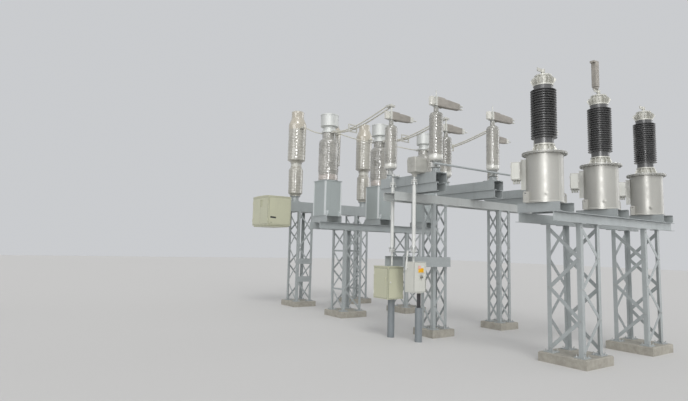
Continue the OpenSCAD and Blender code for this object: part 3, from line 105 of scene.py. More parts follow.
def make_camera():
    data = bpy.data.cameras.new("camera")
    data.sensor_width = 36
    data.lens = FOCAL_PX / IMAGE_W * data.sensor_width
    data.shift_x = (IMAGE_W / 2 - CENTRE_PX[0]) / IMAGE_W
    data.shift_y = (CENTRE_PX[1] - IMAGE_H / 2) / IMAGE_W
    data.clip_start, data.clip_end = 0.1, 200
    ahead = Vector((math.sin(HEADING), math.cos(HEADING), 0))
    right = Vector((math.cos(HEADING), -math.sin(HEADING), 0))
    up = Vector(UP)
    look = ahead * math.cos(PITCH) + up * math.sin(PITCH)
    top = up * math.cos(PITCH) - ahead * math.sin(PITCH)
    image_up = top * math.cos(ROLL) - right * math.sin(ROLL)
    image_right = right * math.cos(ROLL) + top * math.sin(ROLL)
    turn = Matrix((image_right, image_up, -look)).transposed().to_4x4()
    camera = show("camera", data)
    camera.matrix_world = Matrix.Translation(BAY + EYE) @ turn
    scene.camera = camera


make_camera()


# Procedural materials
def linear(c):
    """A 0 to 255 screen value as linear light."""
    c = c / 255
    return c / 12.92 if c <= 0.04045 else ((c + 0.055) / 1.055) ** 2.4


def rgb(r, g, b):
    return (linear(r), linear(g), linear(b))


def toned(colour, by):
    return tuple(min(1.0, c * by) for c in colour)


class Nodes:
    """Small helper round one material's node tree."""

    def __init__(self, name):
        self.material = bpy.data.materials.new(name)
        self.material.use_nodes = True
        self.tree = self.material.node_tree
        self.shader = self.tree.nodes["Principled BSDF"]
        self.coords = self.tree.nodes.new("ShaderNodeTexCoord").outputs["Object"]

    def put(self, value, socket):
        """A node's output, a colour or a number goes into a socket."""
        if isinstance(value, bpy.types.NodeSocket):
            self.tree.links.new(value, socket)
        elif isinstance(value, tuple):
            socket.default_value = (*value, 1)
        else:
            socket.default_value = value

    def set(self, name, value):
        """The same for one of the shader's inputs."""
        self.put(value, self.shader.inputs[name])

    def node(self, kind, **inputs):
        """A new node, with its inputs given by name; an underscore stands for a space."""
        n = self.tree.nodes.new("ShaderNode" + kind)
        for name, value in inputs.items():
            self.put(value, n.inputs[name.replace("_", " ")])
        return n

    def stretched(self, scale):
        n = self.node("Mapping", Vector=self.coords)
        n.inputs["Scale"].default_value = scale
        return n.outputs[0]

    def noise(self, scale, detail=4.0, rough=0.55, vector=None):
        n = self.node("TexNoise", Scale=scale, Detail=detail, Roughness=rough, Vector=vector or self.coords)
        return n.outputs["Fac"]

    def cells(self, scale, feature="F1"):
        n = self.tree.nodes.new("ShaderNodeTexVoronoi")
        n.feature = feature
        self.put(scale, n.inputs["Scale"])
        self.put(self.coords, n.inputs["Vector"])
        return n.outputs["Color" if feature == "F1" else "Distance"]

    def along(self, axis):
        """One object coordinate, X, Y or Z, in metres of the row frame."""
        return self.node("SeparateXYZ", Vector=self.coords).outputs[axis]

    def ramp(self, value, low, high, out_low=0.0, out_high=1.0):
        n = self.node("MapRange", Value=value, From_Min=low, From_Max=high, To_Min=out_low, To_Max=out_high)
        return n.outputs["Result"]

    def below(self, value, level, soft=0.001):
        """1 under a level and 0 over it, with a soft edge."""
        return self.ramp(value, level - soft, level + soft, 1, 0)

    def above(self, value, level, soft=0.001):
        return self.ramp(value, level - soft, level + soft)

    def mix(self, factor, a, b):
        n = self.tree.nodes.new("ShaderNodeMix")
        n.data_type = "RGBA"
        self.put(factor, n.inputs[0])
        self.put(a, n.inputs[6])
        self.put(b, n.inputs[7])
        return n.outputs[2]

    def math(self, kind, a, b=0.0, c=0.0):
        n = self.tree.nodes.new("ShaderNodeMath")
        n.operation = kind
        for i, value in enumerate((a, b, c)):
            self.put(value, n.inputs[i])
        return n.outputs[0]

    def mottled(self, colour, pattern, low, high, dark, light):
        """The colour toned from dark to light where the pattern goes from low to high."""
        return self.mix(self.ramp(pattern, low, high), toned(colour, dark), toned(colour, light))

    def bump(self, height, strength, distance):
        n = self.node("Bump", Strength=strength, Distance=distance, Height=height)
        self.set("Normal", n.outputs[0])


def painted(name, colour, rough, metal, tone, patch, grain, streak, dirt=(0.16, 0.14, 0.12), spangle=0.0,
            bump=0.12, trim_highlight=None):
    """Paint, zinc or cast metal: patches of another tone, grain, streaks of dirt that run down and a fine
    relief. A trim highlight is (colour, function of the nodes that gives where it lies): a painted
    highlight, a paler colour where the parts catch the light."""
    n = Nodes(name)
    base = n.mottled(colour, n.noise(patch, 5), 0.3, 0.7, 1 - tone, 1 + tone)
    fine = n.noise(grain, 3)
    base = n.mix(n.ramp(fine, 0.35, 0.75, 0, 0.22), base, toned(colour, 0.72))
    if spangle:
        base = n.mix(n.math("MULTIPLY", n.cells(55.0), spangle), base, toned(colour, 1.35))
    run = n.noise(1.0, 5, 0.6, n.stretched((13.0, 13.0, 0.9)))
    base = n.mix(n.ramp(run, 0.55, 0.78, 0, streak), base, dirt)
    # Painted highlight: the paler trim colour wherever the mask gives 1
    if trim_highlight:
        base = n.mix(trim_highlight[1](n), base, trim_highlight[0])
    n.set("Base Color", base)
    n.set("Roughness", n.ramp(n.noise(6.0, 4), 0.3, 0.7, rough - 0.08, rough + 0.1))
    n.set("Metallic", metal)
    n.bump(fine, bump, 0.002)
    return n.material


def film_material(name, colour, opacity, rough, crease=0.28, low_band=None, high_band=None):
    """Packing film, clear or opaque: brighter creases, patches where it lies double, a sharp sheen. A band
    is (colour, height): below or above that height the film lies many times over."""
    n = Nodes(name)
    folds = n.noise(6.0, 3, 0.5, n.stretched((1.0, 1.0, 0.3)))
    fine = n.noise(26.0, 2, 0.5)
    ridge = n.math("ABSOLUTE", n.math("SUBTRACT", folds, 0.5))
    bright = n.ramp(ridge, 0.0, 0.035, 1.0, 0.0)
    base = n.mottled(colour, n.noise(3.0, 5, 0.6, n.stretched((1.0, 1.0, 0.4))), 0.38, 0.62, 0.8, 1.1)
    base = n.mix(n.math("MULTIPLY", bright, 0.25), base, toned(colour, 1.3))
    alpha = None
    if opacity < 1:
        double = n.ramp(n.noise(2.6, 3, 0.5), 0.4, 0.62, opacity * 0.88, min(1.0, opacity * 1.15))
        alpha = n.math("MAXIMUM", double, n.math("MULTIPLY", bright, 0.5))
    for band, side in ((low_band, n.below), (high_band, n.above)):
        if band:
            tint, level = band
            wavy = n.math("ADD", n.along("Z"), n.ramp(n.noise(6.0, 3), 0.3, 0.7, -0.02, 0.02))
            inside = side(wavy, level, 0.018)
            base = n.mix(inside, base, tint)
            if alpha:
                alpha = n.math("MAXIMUM", alpha, n.math("MULTIPLY", inside, 0.97))
    n.set("Base Color", base)
    if alpha:
        n.set("Alpha", alpha)
    n.set("Roughness", rough)
    n.set("Specular IOR Level", 0.9)
    n.set("Coat Weight", 1.0)
    n.set("Coat Roughness", 0.06)
    n.bump(n.math("ADD", folds, n.math("MULTIPLY", fine, 0.12)), crease, 0.012)
    return n.material


def wrapping(name, colour, rough=0.6):
    """Packing material wound round a part: soft creases, a little dust."""
    n = Nodes(name)
    folds = n.noise(9.0, 5, 0.55, n.stretched((0.6, 1.0, 1.0)))
    base = n.mottled(colour, folds, 0.35, 0.65, 0.84, 1.08)
    base = n.mix(n.ramp(n.noise(2.0, 4), 0.45, 0.7, 0, 0.3), base, toned(colour, 1.18))
    n.set("Base Color", base)
    n.set("Roughness", n.ramp(n.noise(14.0, 3), 0.3, 0.7, rough - 0.15, rough + 0.1))
    n.bump(folds, 0.35, 0.012)
    return n.material


def glaze_tone(n, colour):
    return n.mottled(colour, n.noise(11.0, 5), 0.3, 0.7, 0.82, 1.15)


def cast_tone(n, colour):
    return n.mottled(colour, n.noise(40.0, 4), 0.35, 0.7, 0.85, 1.08)


def glazed(name, colour):
    """Porcelain glaze with slight mottling."""
    n = Nodes(name)
    n.set("Base Color", glaze_tone(n, colour))
    n.set("Roughness", n.ramp(n.noise(18.0, 4), 0.3, 0.7, 0.12, 0.3))
    n.set("Coat Weight", 0.5)
    return n.material


def two_part(n, where, inner, outer, inner_rough, outer_rough):
    """One look and another where the pattern is 1, over a common fine relief."""
    n.set("Base Color", n.mix(where, inner, outer))
    n.set("Roughness", n.ramp(where, 0.0, 1.0, inner_rough, outer_rough))
    n.bump(n.noise(60.0, 3), 0.1, 0.002)
    return n.material


def post_material(name, glaze, metal, low, high):
    """Glazed porcelain between two heights, cast metal below and above it."""
    n = Nodes(name)
    z = n.along("Z")
    ends = n.math("MAXIMUM", n.below(z, low), n.above(z, high))
    return two_part(n, ends, glaze_tone(n, glaze), cast_tone(n, metal), 0.2, 0.5)


def arm_material(name, wrap, metal, x_wrap, x_tip, z_head):
    """Wrapped arm: bare metal before the wrap, from the arm's tip on and above the head."""
    n = Nodes(name)
    x = n.along("X")
    ends = n.math("MAXIMUM", n.below(x, x_wrap), n.above(x, x_tip))
    bare = n.math("MAXIMUM", ends, n.above(n.along("Z"), z_head))
    dull = n.mottled(wrap, n.noise(9.0, 5), 0.35, 0.65, 0.85, 1.08)
    return two_part(n, bare, dull, cast_tone(n, metal), 0.7, 0.42)


def stone(name, colour):
    """Rough cast concrete: pitted, patchy and dusty."""
    n = Nodes(name)
    rough = n.noise(9.0, 8, 0.7)
    pits = n.cells(60.0, "SMOOTH_F1")
    base = n.mottled(colour, rough, 0.3, 0.7, 0.72, 1.15)
    base = n.mix(n.ramp(n.noise(1.3, 5), 0.4, 0.65, 0, 0.4), base, toned(colour, 1.25))
    n.set("Base Color", base)
    n.set("Roughness", 0.92)
    n.bump(n.math("ADD", rough, n.math("MULTIPLY", pits, 0.4)), 0.6, 0.01)
    return n.material


def stranded(name, colour):
    """Stranded conductor: slanting bright and dark lines."""
    n = Nodes(name)
    wave = n.node("TexWave", Vector=n.coords, Scale=55.0, Distortion=0.6)
    wave.bands_direction = "DIAGONAL"
    strands = wave.outputs["Fac"]
    n.set("Base Color", n.mix(strands, toned(colour, 0.72), toned(colour, 1.1)))
    n.set("Roughness", n.ramp(n.noise(15.0, 3), 0.3, 0.7, 0.4, 0.6))
    n.set("Metallic", 0.4)
    n.bump(strands, 0.5, 0.002)
    return n.material


def ct_trim_highlights(n):
    """1 on the corner trims and foot lugs, which stand out from the tanks' sides below the lid. On the
    trims the paler colour is a painted highlight, where the corners catch the light; the lugs are pale
    themselves.
    """
    across = n.math("SUBTRACT", n.along("X"), BAY.x)
    across = n.math("ABSOLUTE", n.math("WRAP", across, PHASE / 2, -PHASE / 2))
    along = n.math("ABSOLUTE", n.math("SUBTRACT", n.along("Y"), BAY.y + CT_AT[1]))
    proud = 0.002
    out = n.math("MAXIMUM", n.math("GREATER_THAN", across, CT_HALF[0] + proud),
                 n.math("GREATER_THAN", along, CT_HALF[1] + proud))
    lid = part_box("ct_tanks")[1].z - CT_LID_T
    return n.math("MULTIPLY", out, n.math("LESS_THAN", n.along("Z"), lid))


GLAZE = rgb(118, 106, 96)

# Slots of paint, zinc, cast metal, rubber and plastic, which painted() makes
PAINTS = {
    "galvanised": dict(colour=rgb(164, 169, 169), rough=0.48, metal=0.2, tone=0.08, patch=2.2, grain=80,
                       streak=0.18, spangle=0.15),
    "bright_channel": dict(colour=rgb(184, 187, 185), rough=0.42, metal=0.2, tone=0.07, patch=2.0, grain=80,
                           streak=0.16, spangle=0.18),
    "tank_paint": dict(colour=rgb(172, 171, 165), rough=0.4, metal=0.2, tone=0.05, patch=1.8, grain=60,
                       streak=0.08),
    # The current transformers' tanks: paler corner trims and lugs; on the trims this is a painted highlight
    "ct_paint": dict(colour=rgb(164, 171, 170), rough=0.36, metal=0.15, tone=0.06, patch=1.6, grain=60,
                     streak=0.16, trim_highlight=(rgb(208, 212, 212), ct_trim_highlights)),
    "head_paint": dict(colour=rgb(200, 202, 199), rough=0.42, metal=0.25, tone=0.05, patch=3.0, grain=60,
                       streak=0.12),
    "casting": dict(colour=rgb(194, 193, 185), rough=0.42, metal=0.2, tone=0.07, patch=7.0, grain=90,
                    streak=0.16, bump=0.25),
    "composite": dict(colour=rgb(94, 94, 94), rough=0.3, metal=0.0, tone=0.12, patch=6.0, grain=50,
                      streak=0.4, dirt=rgb(120, 118, 112)),
    "box_grey": dict(colour=rgb(202, 202, 194), rough=0.42, metal=0.0, tone=0.04, patch=2.0, grain=50,
                     streak=0.1),
    "cabinet_cream": dict(colour=rgb(189, 189, 165), rough=0.38, metal=0.0, tone=0.04, patch=1.6, grain=50,
                          streak=0.1),
    "drive_white": dict(colour=rgb(208, 209, 205), rough=0.4, metal=0.0, tone=0.04, patch=3.0, grain=60,
                        streak=0.12),
    "riser_grey": dict(colour=rgb(122, 128, 131), rough=0.45, metal=0.0, tone=0.1, patch=3.0, grain=60,
                       streak=0.25),
    "knob_yellow": dict(colour=rgb(232, 178, 36), rough=0.35, metal=0.0, tone=0.05, patch=8.0, grain=90,
                        streak=0.05),
    "cable_black": dict(colour=rgb(56, 56, 58), rough=0.5, metal=0.0, tone=0.1, patch=8.0, grain=90,
                        streak=0.1),
}
LOOKS = {name: painted(name, **values) for name, values in PAINTS.items()}
LOOKS["concrete"] = stone("concrete", rgb(160, 156, 146))
LOOKS["porcelain"] = glazed("porcelain", GLAZE)
LOOKS["film_clear"] = film_material("film_clear", rgb(180, 178, 171), 0.58, 0.13, 0.34,
                                    low_band=(rgb(176, 168, 161), CT_FILM_BAND))
LOOKS["film_beige"] = film_material("film_beige", rgb(165, 162, 152), 1.0, 0.24, 0.34,
                                    high_band=(rgb(175, 168, 153), CB_FILM_SEAM))
LOOKS["wrap_grey"] = wrapping("wrap_grey", rgb(152, 147, 139))
LOOKS["conductor"] = stranded("conductor", rgb(222, 219, 206))

# Looks of single pieces
POST_FILM = film_material("post_film", rgb(180, 178, 170), 0.52, 0.12, 0.6,
                          low_band=(rgb(210, 209, 202), POST_FILM_BAND))
BLOCK_FILM = film_material("block_film", rgb(206, 204, 195), 1.0, 0.3)
GEAR_WRAP = wrapping("gear_wrap", rgb(170, 169, 162), 0.45)
STEEL = painted("steel_fasteners", rgb(172, 174, 172), rough=0.36, metal=0.5, tone=0.15, patch=20.0,
                grain=120, streak=0.25)
DARK = painted("dark_gap", rgb(46, 47, 48), rough=0.7, metal=0.0, tone=0.1, patch=10.0, grain=90,
               streak=0.0)
LOCK = painted("lock_metal", rgb(150, 148, 140), rough=0.4, metal=0.4, tone=0.1, patch=20.0, grain=120,
               streak=0.1)
PALE_PLATE = painted("pale_plate", rgb(222, 176, 166), rough=0.45, metal=0.0, tone=0.05, patch=9.0,
                     grain=80, streak=0.05)
POST_LOOK = post_material("post_body", GLAZE, rgb(176, 178, 175), *POST_GLAZE)
ARM_LOOKS = [arm_material("arm_%d" % (k + 1), rgb(146, 141, 134), rgb(205, 205, 198),
                          BAY.x + phase * PHASE - 0.01, BAY.x + phase * PHASE + 0.52, POST_TOP + HEAD_H)
             for k, phase in enumerate(PHASES)]

for part in frame["record"]["subparts"]:
    name = part["node"]
    look = LOOKS[part["material_slot"]]
    if name.startswith("post_"):
        look = POST_LOOK
    if name.startswith("arm_"):
        look = ARM_LOOKS[int(name[-1]) - 1]
    node = frame["nodes"][name]
    node.data.materials.clear()
    node.data.materials.append(look)


# Mesh building
def at(x, y, z=0.0):
    """A point given from the bay's own zero, in the row frame."""
    return Vector((BAY.x + x, BAY.y + y, z))


def moved(x, y, z=0.0):
    """The same place as a matrix."""
    return Matrix.Translation(at(x, y, z))


def bay_box(node):
    """A node's box, given from the bay's own zero."""
    low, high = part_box(node)
    return low - BAY, high - BAY


def facing(axis):
    """Rotation that turns +Z to the axis."""
    return Vector(UP).rotation_difference(Vector(axis)).to_matrix().to_4x4()


def turned(degrees, axis="Z"):
    return Matrix.Rotation(math.radians(degrees), 4, axis)


def quads(rows, around):
    """Faces between closed rings of points, which follow one another."""
    return [(j * around + k, j * around + (k + 1) % around, (j + 1) * around + (k + 1) % around,
             (j + 1) * around + k) for j in range(rows - 1) for k in range(around)]


def caps(rows, around):
    """Faces that close the first and the last ring."""
    return [tuple(range(around - 1, -1, -1)), tuple(range((rows - 1) * around, rows * around))]


class Parts:
    """Collects closed shapes into one mesh."""

    def __init__(self):
        self.points, self.faces = [], []

    def add(self, points, faces, place=Matrix()):
        first = len(self.points)
        self.points += [place @ Vector(p) for p in points]
        self.faces += [[first + i for i in f] for f in faces]

    def box(self, low, high, place=Matrix()):
        (a, b, c), (d, e, f) = low, high
        points = [(a, b, c), (d, b, c), (d, e, c), (a, e, c), (a, b, f), (d, b, f), (d, e, f), (a, e, f)]
        faces = [(3, 2, 1, 0), (4, 5, 6, 7), (0, 1, 5, 4), (1, 2, 6, 5), (2, 3, 7, 6), (3, 0, 4, 7)]
        self.add(points, faces, place)

    def lathe(self, profile, around, place=Matrix()):
        """Turns (radius, height) points round Z; the ends are closed."""
        angles = [2 * math.pi * k / around for k in range(around)]
        ring = [(math.cos(a), math.sin(a)) for a in angles]
        points = [(r * c, r * s, z) for r, z in profile for c, s in ring]
        self.add(points, quads(len(profile), around) + caps(len(profile), around), place)

    def rod(self, start, end, r, around=14):
        """A round bar between two points."""
        start, end = Vector(start), Vector(end)
        place = Matrix.Translation(start) @ facing(end - start)
        self.lathe([(r, 0), (r, (end - start).length)], around, place)

    def bolt(self, where, axis, size, stud=0.0):
        """Washer and hexagon head, and a stud end where stud gives its height."""
        place = Matrix.Translation(where) @ facing(axis)
        self.lathe([(size * 0.95, -0.001), (size * 0.95, 0.003)], 14, place)
        head = [(size * 0.72, 0.002), (size * 0.72, 0.003 + size * 0.55), (size * 0.6, 0.004 + size * 0.65)]
        self.lathe(head, 6, place)
        if stud:
            self.lathe([(size * 0.36, 0.0), (size * 0.36, stud), (size * 0.28, stud + 0.003)], 10, place)

    def bolt_ring(self, centre, radius, count, z, size, axis=UP, turn=0.0, stud=0.0):
        """Bolts on a circle round an upright axis, turned by a part of their distance."""
        for k in range(count):
            a = 2 * math.pi * (k + turn) / count
            where = Vector((centre.x + radius * math.cos(a), centre.y + radius * math.sin(a), z))
            self.bolt(where, axis, size, stud)

    def hinge(self, where, length=0.06, r=0.008):
        """An upright barrel with a ring at each third."""
        self.rod(where, Vector(where) + Vector((0, 0, length)), r)
        for share in (0.33, 0.67):
            z = share * length
            self.lathe([(r * 1.12, z - 0.001), (r * 1.12, z + 0.001)], 14, Matrix.Translation(where))

    def make(self, name, material, body, slot, smooth=None):
        """The mesh as an object, shaded smooth up to an angle of smooth degrees if that is given."""
        mesh = bpy.data.meshes.new(name)
        mesh.from_pydata(self.points, [], self.faces)
        mesh.materials.append(material)
        if smooth:
            mesh.shade_smooth()
            mesh.set_sharp_from_angle(angle=math.radians(smooth))
        o = show(name, mesh)
        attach(o, body)
        return o


# Conductors: nine free wires between clamps
CT_PAD_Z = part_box("twin_clamps")[0].z + 0.06
SWIVEL_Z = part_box("twin_clamps")[1].z - 0.02
CLAMP_H = 0.044
CB_PAD_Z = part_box("single_clamps")[1].z - CLAMP_H
WIRE_R = 0.016
TWIN_GAP = 0.11


def make_wire(name, p, node):
    """A free conductor along the curve with the control points p."""
    curve = bpy.data.curves.new(name, "CURVE")
    curve.dimensions = "3D"
    curve.bevel_depth = WIRE_R
    curve.bevel_resolution = 3
    curve.resolution_u = 40
    curve.use_fill_caps = True
    spline = curve.splines.new("BEZIER")
    spline.bezier_points.add(1)
    a, b = spline.bezier_points
    a.co, a.handle_right, a.handle_left = p[0], p[1], p[0] * 2 - p[1]
    b.co, b.handle_left, b.handle_right = p[3], p[2], p[3] * 2 - p[2]
    curve.materials.append(LOOKS["conductor"])
    o = show(name, curve)
    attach(o, "root")
    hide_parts(node)


def make_wires():
    """Two sagging wires a phase to the current transformers, and one that first rises from there on."""
    sag, rise, slack = 0.15, 0.09, 0.45
    y0, y1 = POST_Y - 0.04 + 0.15, CT_AT[1] - CT_TERMINAL
    third = (y1 - y0) / 3
    z0, z1 = SWIVEL_Z, CT_PAD_Z - 0.03
    y2, y3 = CT_AT[1] + CT_TERMINAL, CB_AT[1] - CB_TERMINAL
    z2, z3 = CT_PAD_Z + PAD_T + CLAMP_H / 2, CB_PAD_Z + CLAMP_H / 2
    for k, phase in enumerate(PHASES):
        for side in SIDES:
            x = phase * PHASE + side * TWIN_GAP / 2
            make_wire("twin_%d_%s" % (k + 1, "left" if side < 0 else "right"),
                      [at(x, y0, z0), at(x, y0 + third, z0 - sag), at(x, y1 - third, z1 - sag),
                       at(x, y1, z1)], "twin_wires")
        make_wire("single_%d" % (k + 1),
                  [at(phase * PHASE, y2, z2), at(phase * PHASE, y2 + slack, z2 + rise),
                   at(phase * POLE, y3 - slack, z3 - 2 * rise), at(phase * POLE, y3, z3)], "single_wires")


make_wires()


# Packing film and wraps
MESH_STEP = 0.014
SKIN_T = 0.0025


def wrinkle(p, seed):
    """Creases in crumpled film, from -1 to 1, at a point in metres."""
    q = Vector((p[0], p[1], 0.6 * p[2])) + Vector((seed * 3.1, seed * 1.7, seed * 2.3))
    broad = noise.noise(q * 4.0)
    crease = 1 - 2 * abs(noise.noise(q * 9.0))
    fine = 1 - 2 * abs(noise.noise(q * 24.0))
    return 0.5 * broad + 0.38 * crease + 0.12 * fine


def fine_rows(stations, gap):
    """Steps of about MESH_STEP from station to station; gap gives the distance between two of them."""
    rows = []
    for a, b in zip(stations, stations[1:]):
        # A tie goes to the lower count, whatever the last digit of a height is
        count = max(1, math.ceil(gap(a, b) / MESH_STEP - 0.501))
        rows += [tuple(u + (v - u) * i / count for u, v in zip(a, b)) for i in range(count)]
    return rows + [stations[-1]]


def film_tube(name, centre, profile, material, amp, seed, rib, body="root", around=84, pitch=0.064,
              plain_above=math.inf):
    """A tube of film round an upright axis, through (radius, height) points. It is crumpled by amp, and
    drawn in unevenly by rib between the sheds beneath it, which lie pitch apart up to plain_above."""
    rows = fine_rows(profile, math.dist)
    z_low, z_high = profile[0][1], profile[-1][1]
    edge = 0.05
    points = []
    for r, z in rows:
        ease = min(1.0, (z - z_low) / edge + 0.25, (z_high - z) / edge + 0.25)
        dip = 0 if z > plain_above else rib * ease * (1 - abs(math.cos(math.pi * (z - z_low) / pitch)))
        for k in range(around):
            a = 2 * math.pi * k / around
            d = Vector((math.cos(a), math.sin(a), 0))
            w = wrinkle(d * r + Vector((0, 0, z)), seed)
            out = r + amp * ease * w - dip * (0.85 + 0.6 * w)
            up = z + 0.3 * amp * ease * w
            points.append(Vector((centre.x, centre.y, 0)) + d * out + Vector((0, 0, up)))
    mesh = bpy.data.meshes.new(name)
    mesh.from_pydata(points, [], quads(len(rows), around))
    mesh.materials.append(material)
    mesh.shade_smooth()
    o = show(name, mesh)
    thick = o.modifiers.new("skin", "SOLIDIFY")
    thick.thickness = SKIN_T
    thick.offset = -1
    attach(o, body)
    return o


def make_ct_film():
    """From the tank's lid over the sheds, drawn in at the neck."""
    low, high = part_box("ct_film")
    for k, phase in enumerate(PHASES):
        o = film_tube("ct_film_%d" % (k + 1), at(phase * PHASE, CT_AT[1]),
                      [(0.247, low.z), (0.25, low.z + 0.17), (0.262, low.z + 0.24), (0.262, high.z - 0.27),
                       (0.235, high.z - 0.2), (0.178, high.z - 0.15), (0.178, high.z)],
                      LOOKS["film_clear"], amp=0.014, seed=k + 1, rib=0.006)
        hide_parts("ct_film")


def make_cb_film():
    """One film over each pole's support insulator, and one over its chamber and head."""
    low, top = (corner.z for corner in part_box("cb_film"))
    mid = low + CB_LOW_H
    up = mid + CB_MID_H
    for k, phase in enumerate(PHASES):
        centre = at(phase * POLE, CB_AT[1])
        o = film_tube("cb_low_film_%d" % (k + 1), centre,
                      [(0.16, low), (0.16, low + 0.03), (0.218, low + 0.09), (0.218, mid - 0.04),
                       (0.172, mid + 0.03), (0.172, mid + 0.06)],
                      LOOKS["film_beige"], amp=0.01, seed=10 + k, rib=0.0055, pitch=0.085)
        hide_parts("cb_film")
        o = film_tube("cb_up_film_%d" % (k + 1), centre,
                      [(0.172, up), (0.172, up + 0.03), (0.27, up + 0.09), (0.27, top - 0.41),
                       (0.25, top - 0.34), (0.19, top - 0.2), (0.184, top - 0.12), (0.186, top - 0.03),
                       (0.196, top - 0.012), (0.186, top - 0.003), (0.12, top), (0.006, top + 0.003)],
                      LOOKS["film_beige"], amp=0.011, seed=20 + k, rib=0.006, pitch=0.1,
                      plain_above=CB_FILM_SEAM)
        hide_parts("cb_film")


def make_post_film():
    """From below the glaze over the sheds, then tight round the cap up to the head."""
    foot, cap = POST_GLAZE
    for post, k, x, y in POSTS:
        film_tube("post_film_" + post, at(x, y),
                  [(0.1, foot - 0.022), (0.13, foot - 0.002), (0.139, foot + 0.028), (0.138, cap - 0.007),
                   (0.122, cap + 0.028), (0.094, cap + 0.049), (0.053, cap + 0.071),
                   (0.05, POST_TOP - 0.022)],
                  POST_FILM, amp=0.004, seed=(30 if y < 0 else 35) + k, rib=0.004,
                  body="post_" + post, around=64)


make_ct_film()
make_cb_film()
make_post_film()


def loft(sections, seed, around=40, power=0.2, amp=0.003):
    """Wrap lofted along +x through (x, half width, half height, middle height) sections: nearly square
    across for a small power, creased by amp."""
    rows = fine_rows(sections, lambda a, b: b[0] - a[0])
    points = []
    for x, half_w, half_h, mid in rows:
        for k in range(around):
            a = 2 * math.pi * (k + 0.5) / around
            c, s = math.cos(a), math.sin(a)
            across = half_w * math.copysign(abs(c) ** power, c)
            p = Vector((x, across, mid + half_h * math.copysign(abs(s) ** power, s)))
            points.append(p + Vector((0, c, s)) * amp * wrinkle(p, seed))
    return points, quads(len(rows), around) + caps(len(rows), around)


def make_arm_wraps():
    """Head and arm lie in stiff wrap; a lighter block of film hangs behind each head."""
    head_end, taper = 0.31, 0.02 / 0.325
    for post, k, x, y in POSTS:
        body = "post_" + post
        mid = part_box("arm_" + post)[0].z + HEAD_H / 2
        place = moved(x, y)
        seed, end = (50 + k, 0.635) if y < 0 else (57 + k, 0.525)
        wrap = Parts()
        wrap.add(*loft([(-0.016, 0.064, 0.09, mid), (-0.01, 0.07, 0.095, mid), (0.18, 0.07, 0.095, mid),
                        (0.188, 0.064, 0.088, mid)], seed), place)
        wrap.add(*loft([(0.17, 0.05, 0.084, mid), (head_end, 0.05, 0.084, mid),
                        (end - 0.012, 0.05, 0.084 - taper * (end - head_end), mid),
                        (end, 0.044, 0.056, mid)], seed + 3), place)
        wrap.make("wrap_" + post, LOOKS["wrap_grey"], body, "wrap_grey", 40)
        block = Parts()
        block.add(*loft([(-0.166, 0.036, 0.08, mid), (-0.16, 0.042, 0.086, mid),
                         (-0.088, 0.042, 0.088, mid)], seed + 5, amp=0.004), place)
        block.make("film_block_" + post, BLOCK_FILM, body, "film_clear", 40)


def make_gear_wrap():
    """The gear box is wrapped whole and gathered round the tube below it."""
    low, top = (corner.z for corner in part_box("ds_gear_box"))
    upright = Matrix(((0, 0, 1, 0), (0, 1, 0, 0), (1, 0, 0, 0), (0, 0, 0, 1)))
    sections = [(low - 0.065, 0.034, 0.034, 0.0), (low - 0.018, 0.038, 0.038, 0.0), (low, 0.06, 0.08, 0.03),
                (low + 0.018, 0.116, 0.165, 0.078), (top - 0.06, 0.124, 0.172, 0.078),
                (top - 0.015, 0.112, 0.156, 0.065), (top + 0.005, 0.095, 0.135, 0.05)]
    wrap = Parts()
    wrap.add(*loft([(z, half_y, half_x, DRIVE_X + out) for z, half_y, half_x, out in sections],
                   71, around=72, power=0.13, amp=0.007), moved(0, DRIVES["main_drive"]) @ upright)
    o = wrap.make("gear_wrap", GEAR_WRAP, "root", "wrap_grey", 35)
    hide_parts("ds_gear_box")


make_arm_wraps()
make_gear_wrap()

# Fasteners
PLINTH_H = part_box("plinths")[1].z
LEG_W, FOOT_W, FOOT_T, SEAT_T = 0.075, 0.18, 0.014, 0.01

# Each pair of towers has a middle, a width across and along, a height, a number of panels, the width of
# the bars and the way in which the lowest zigzag bar leans
TOWERS = {
    "vt": ((VT_AT[0] + 0.045, VT_AT[1] - 0.035), 0.56, 0.6, 2.08, 4, 0.06, -1),
    "ds": (DS_AT, 0.39, 0.35, 2.56, 6, 0.045, 1),
    "ct": (CT_AT, 0.55, 0.58, 2.07, 4, 0.045, 1),
    "cb": (CB_AT, 0.51, 0.58, 2.66, 5, 0.045, 1),
}


def make_tower_bolts():
    """Anchor bolts in the foot plates, and a bolt at each joint of the zigzag bars."""
    foot_z = PLINTH_H + FOOT_T
    anchor = FOOT_W / 2 - 0.028
    for name, ((middle_x, middle_y), wide, deep, height, panels, bar_w, way) in TOWERS.items():
        bolts = Parts()
        leg_x, leg_y = (wide - LEG_W) / 2, (deep - LEG_W) / 2
        panel_h = (height - SEAT_T - FOOT_T - 2 * bar_w) / panels
        for side in SIDES:
            x, y = middle_x + side * TOWER_GAP / 2, middle_y
            for sx, sy in CORNERS:
                foot = at(x + sx * leg_x, y + sy * leg_y, foot_z)
                for dx, dy in CORNERS:
                    bolts.bolt(foot + Vector((dx * anchor, dy * anchor, 0)), UP, 0.019, 0.035)
            for face in SIDES:
                for p in range(panels + 1):
                    z = foot_z + bar_w + p * panel_h
                    lean = (1 if min(p, panels - 1) % 2 == 0 else -1) * face * way
                    end = -lean if p < panels else lean
                    bolts.bolt(at(x + end * leg_x, y + face * deep / 2, z), (0, face, 0), 0.014)
                    # The faces that look across the phases are the same, turned by a quarter
                    bolts.bolt(at(x - face * wide / 2, y + end * leg_y, z), (-face, 0, 0), 0.014)
        bolts.make(name + "_tower_bolts", STEEL, "root", "galvanised")


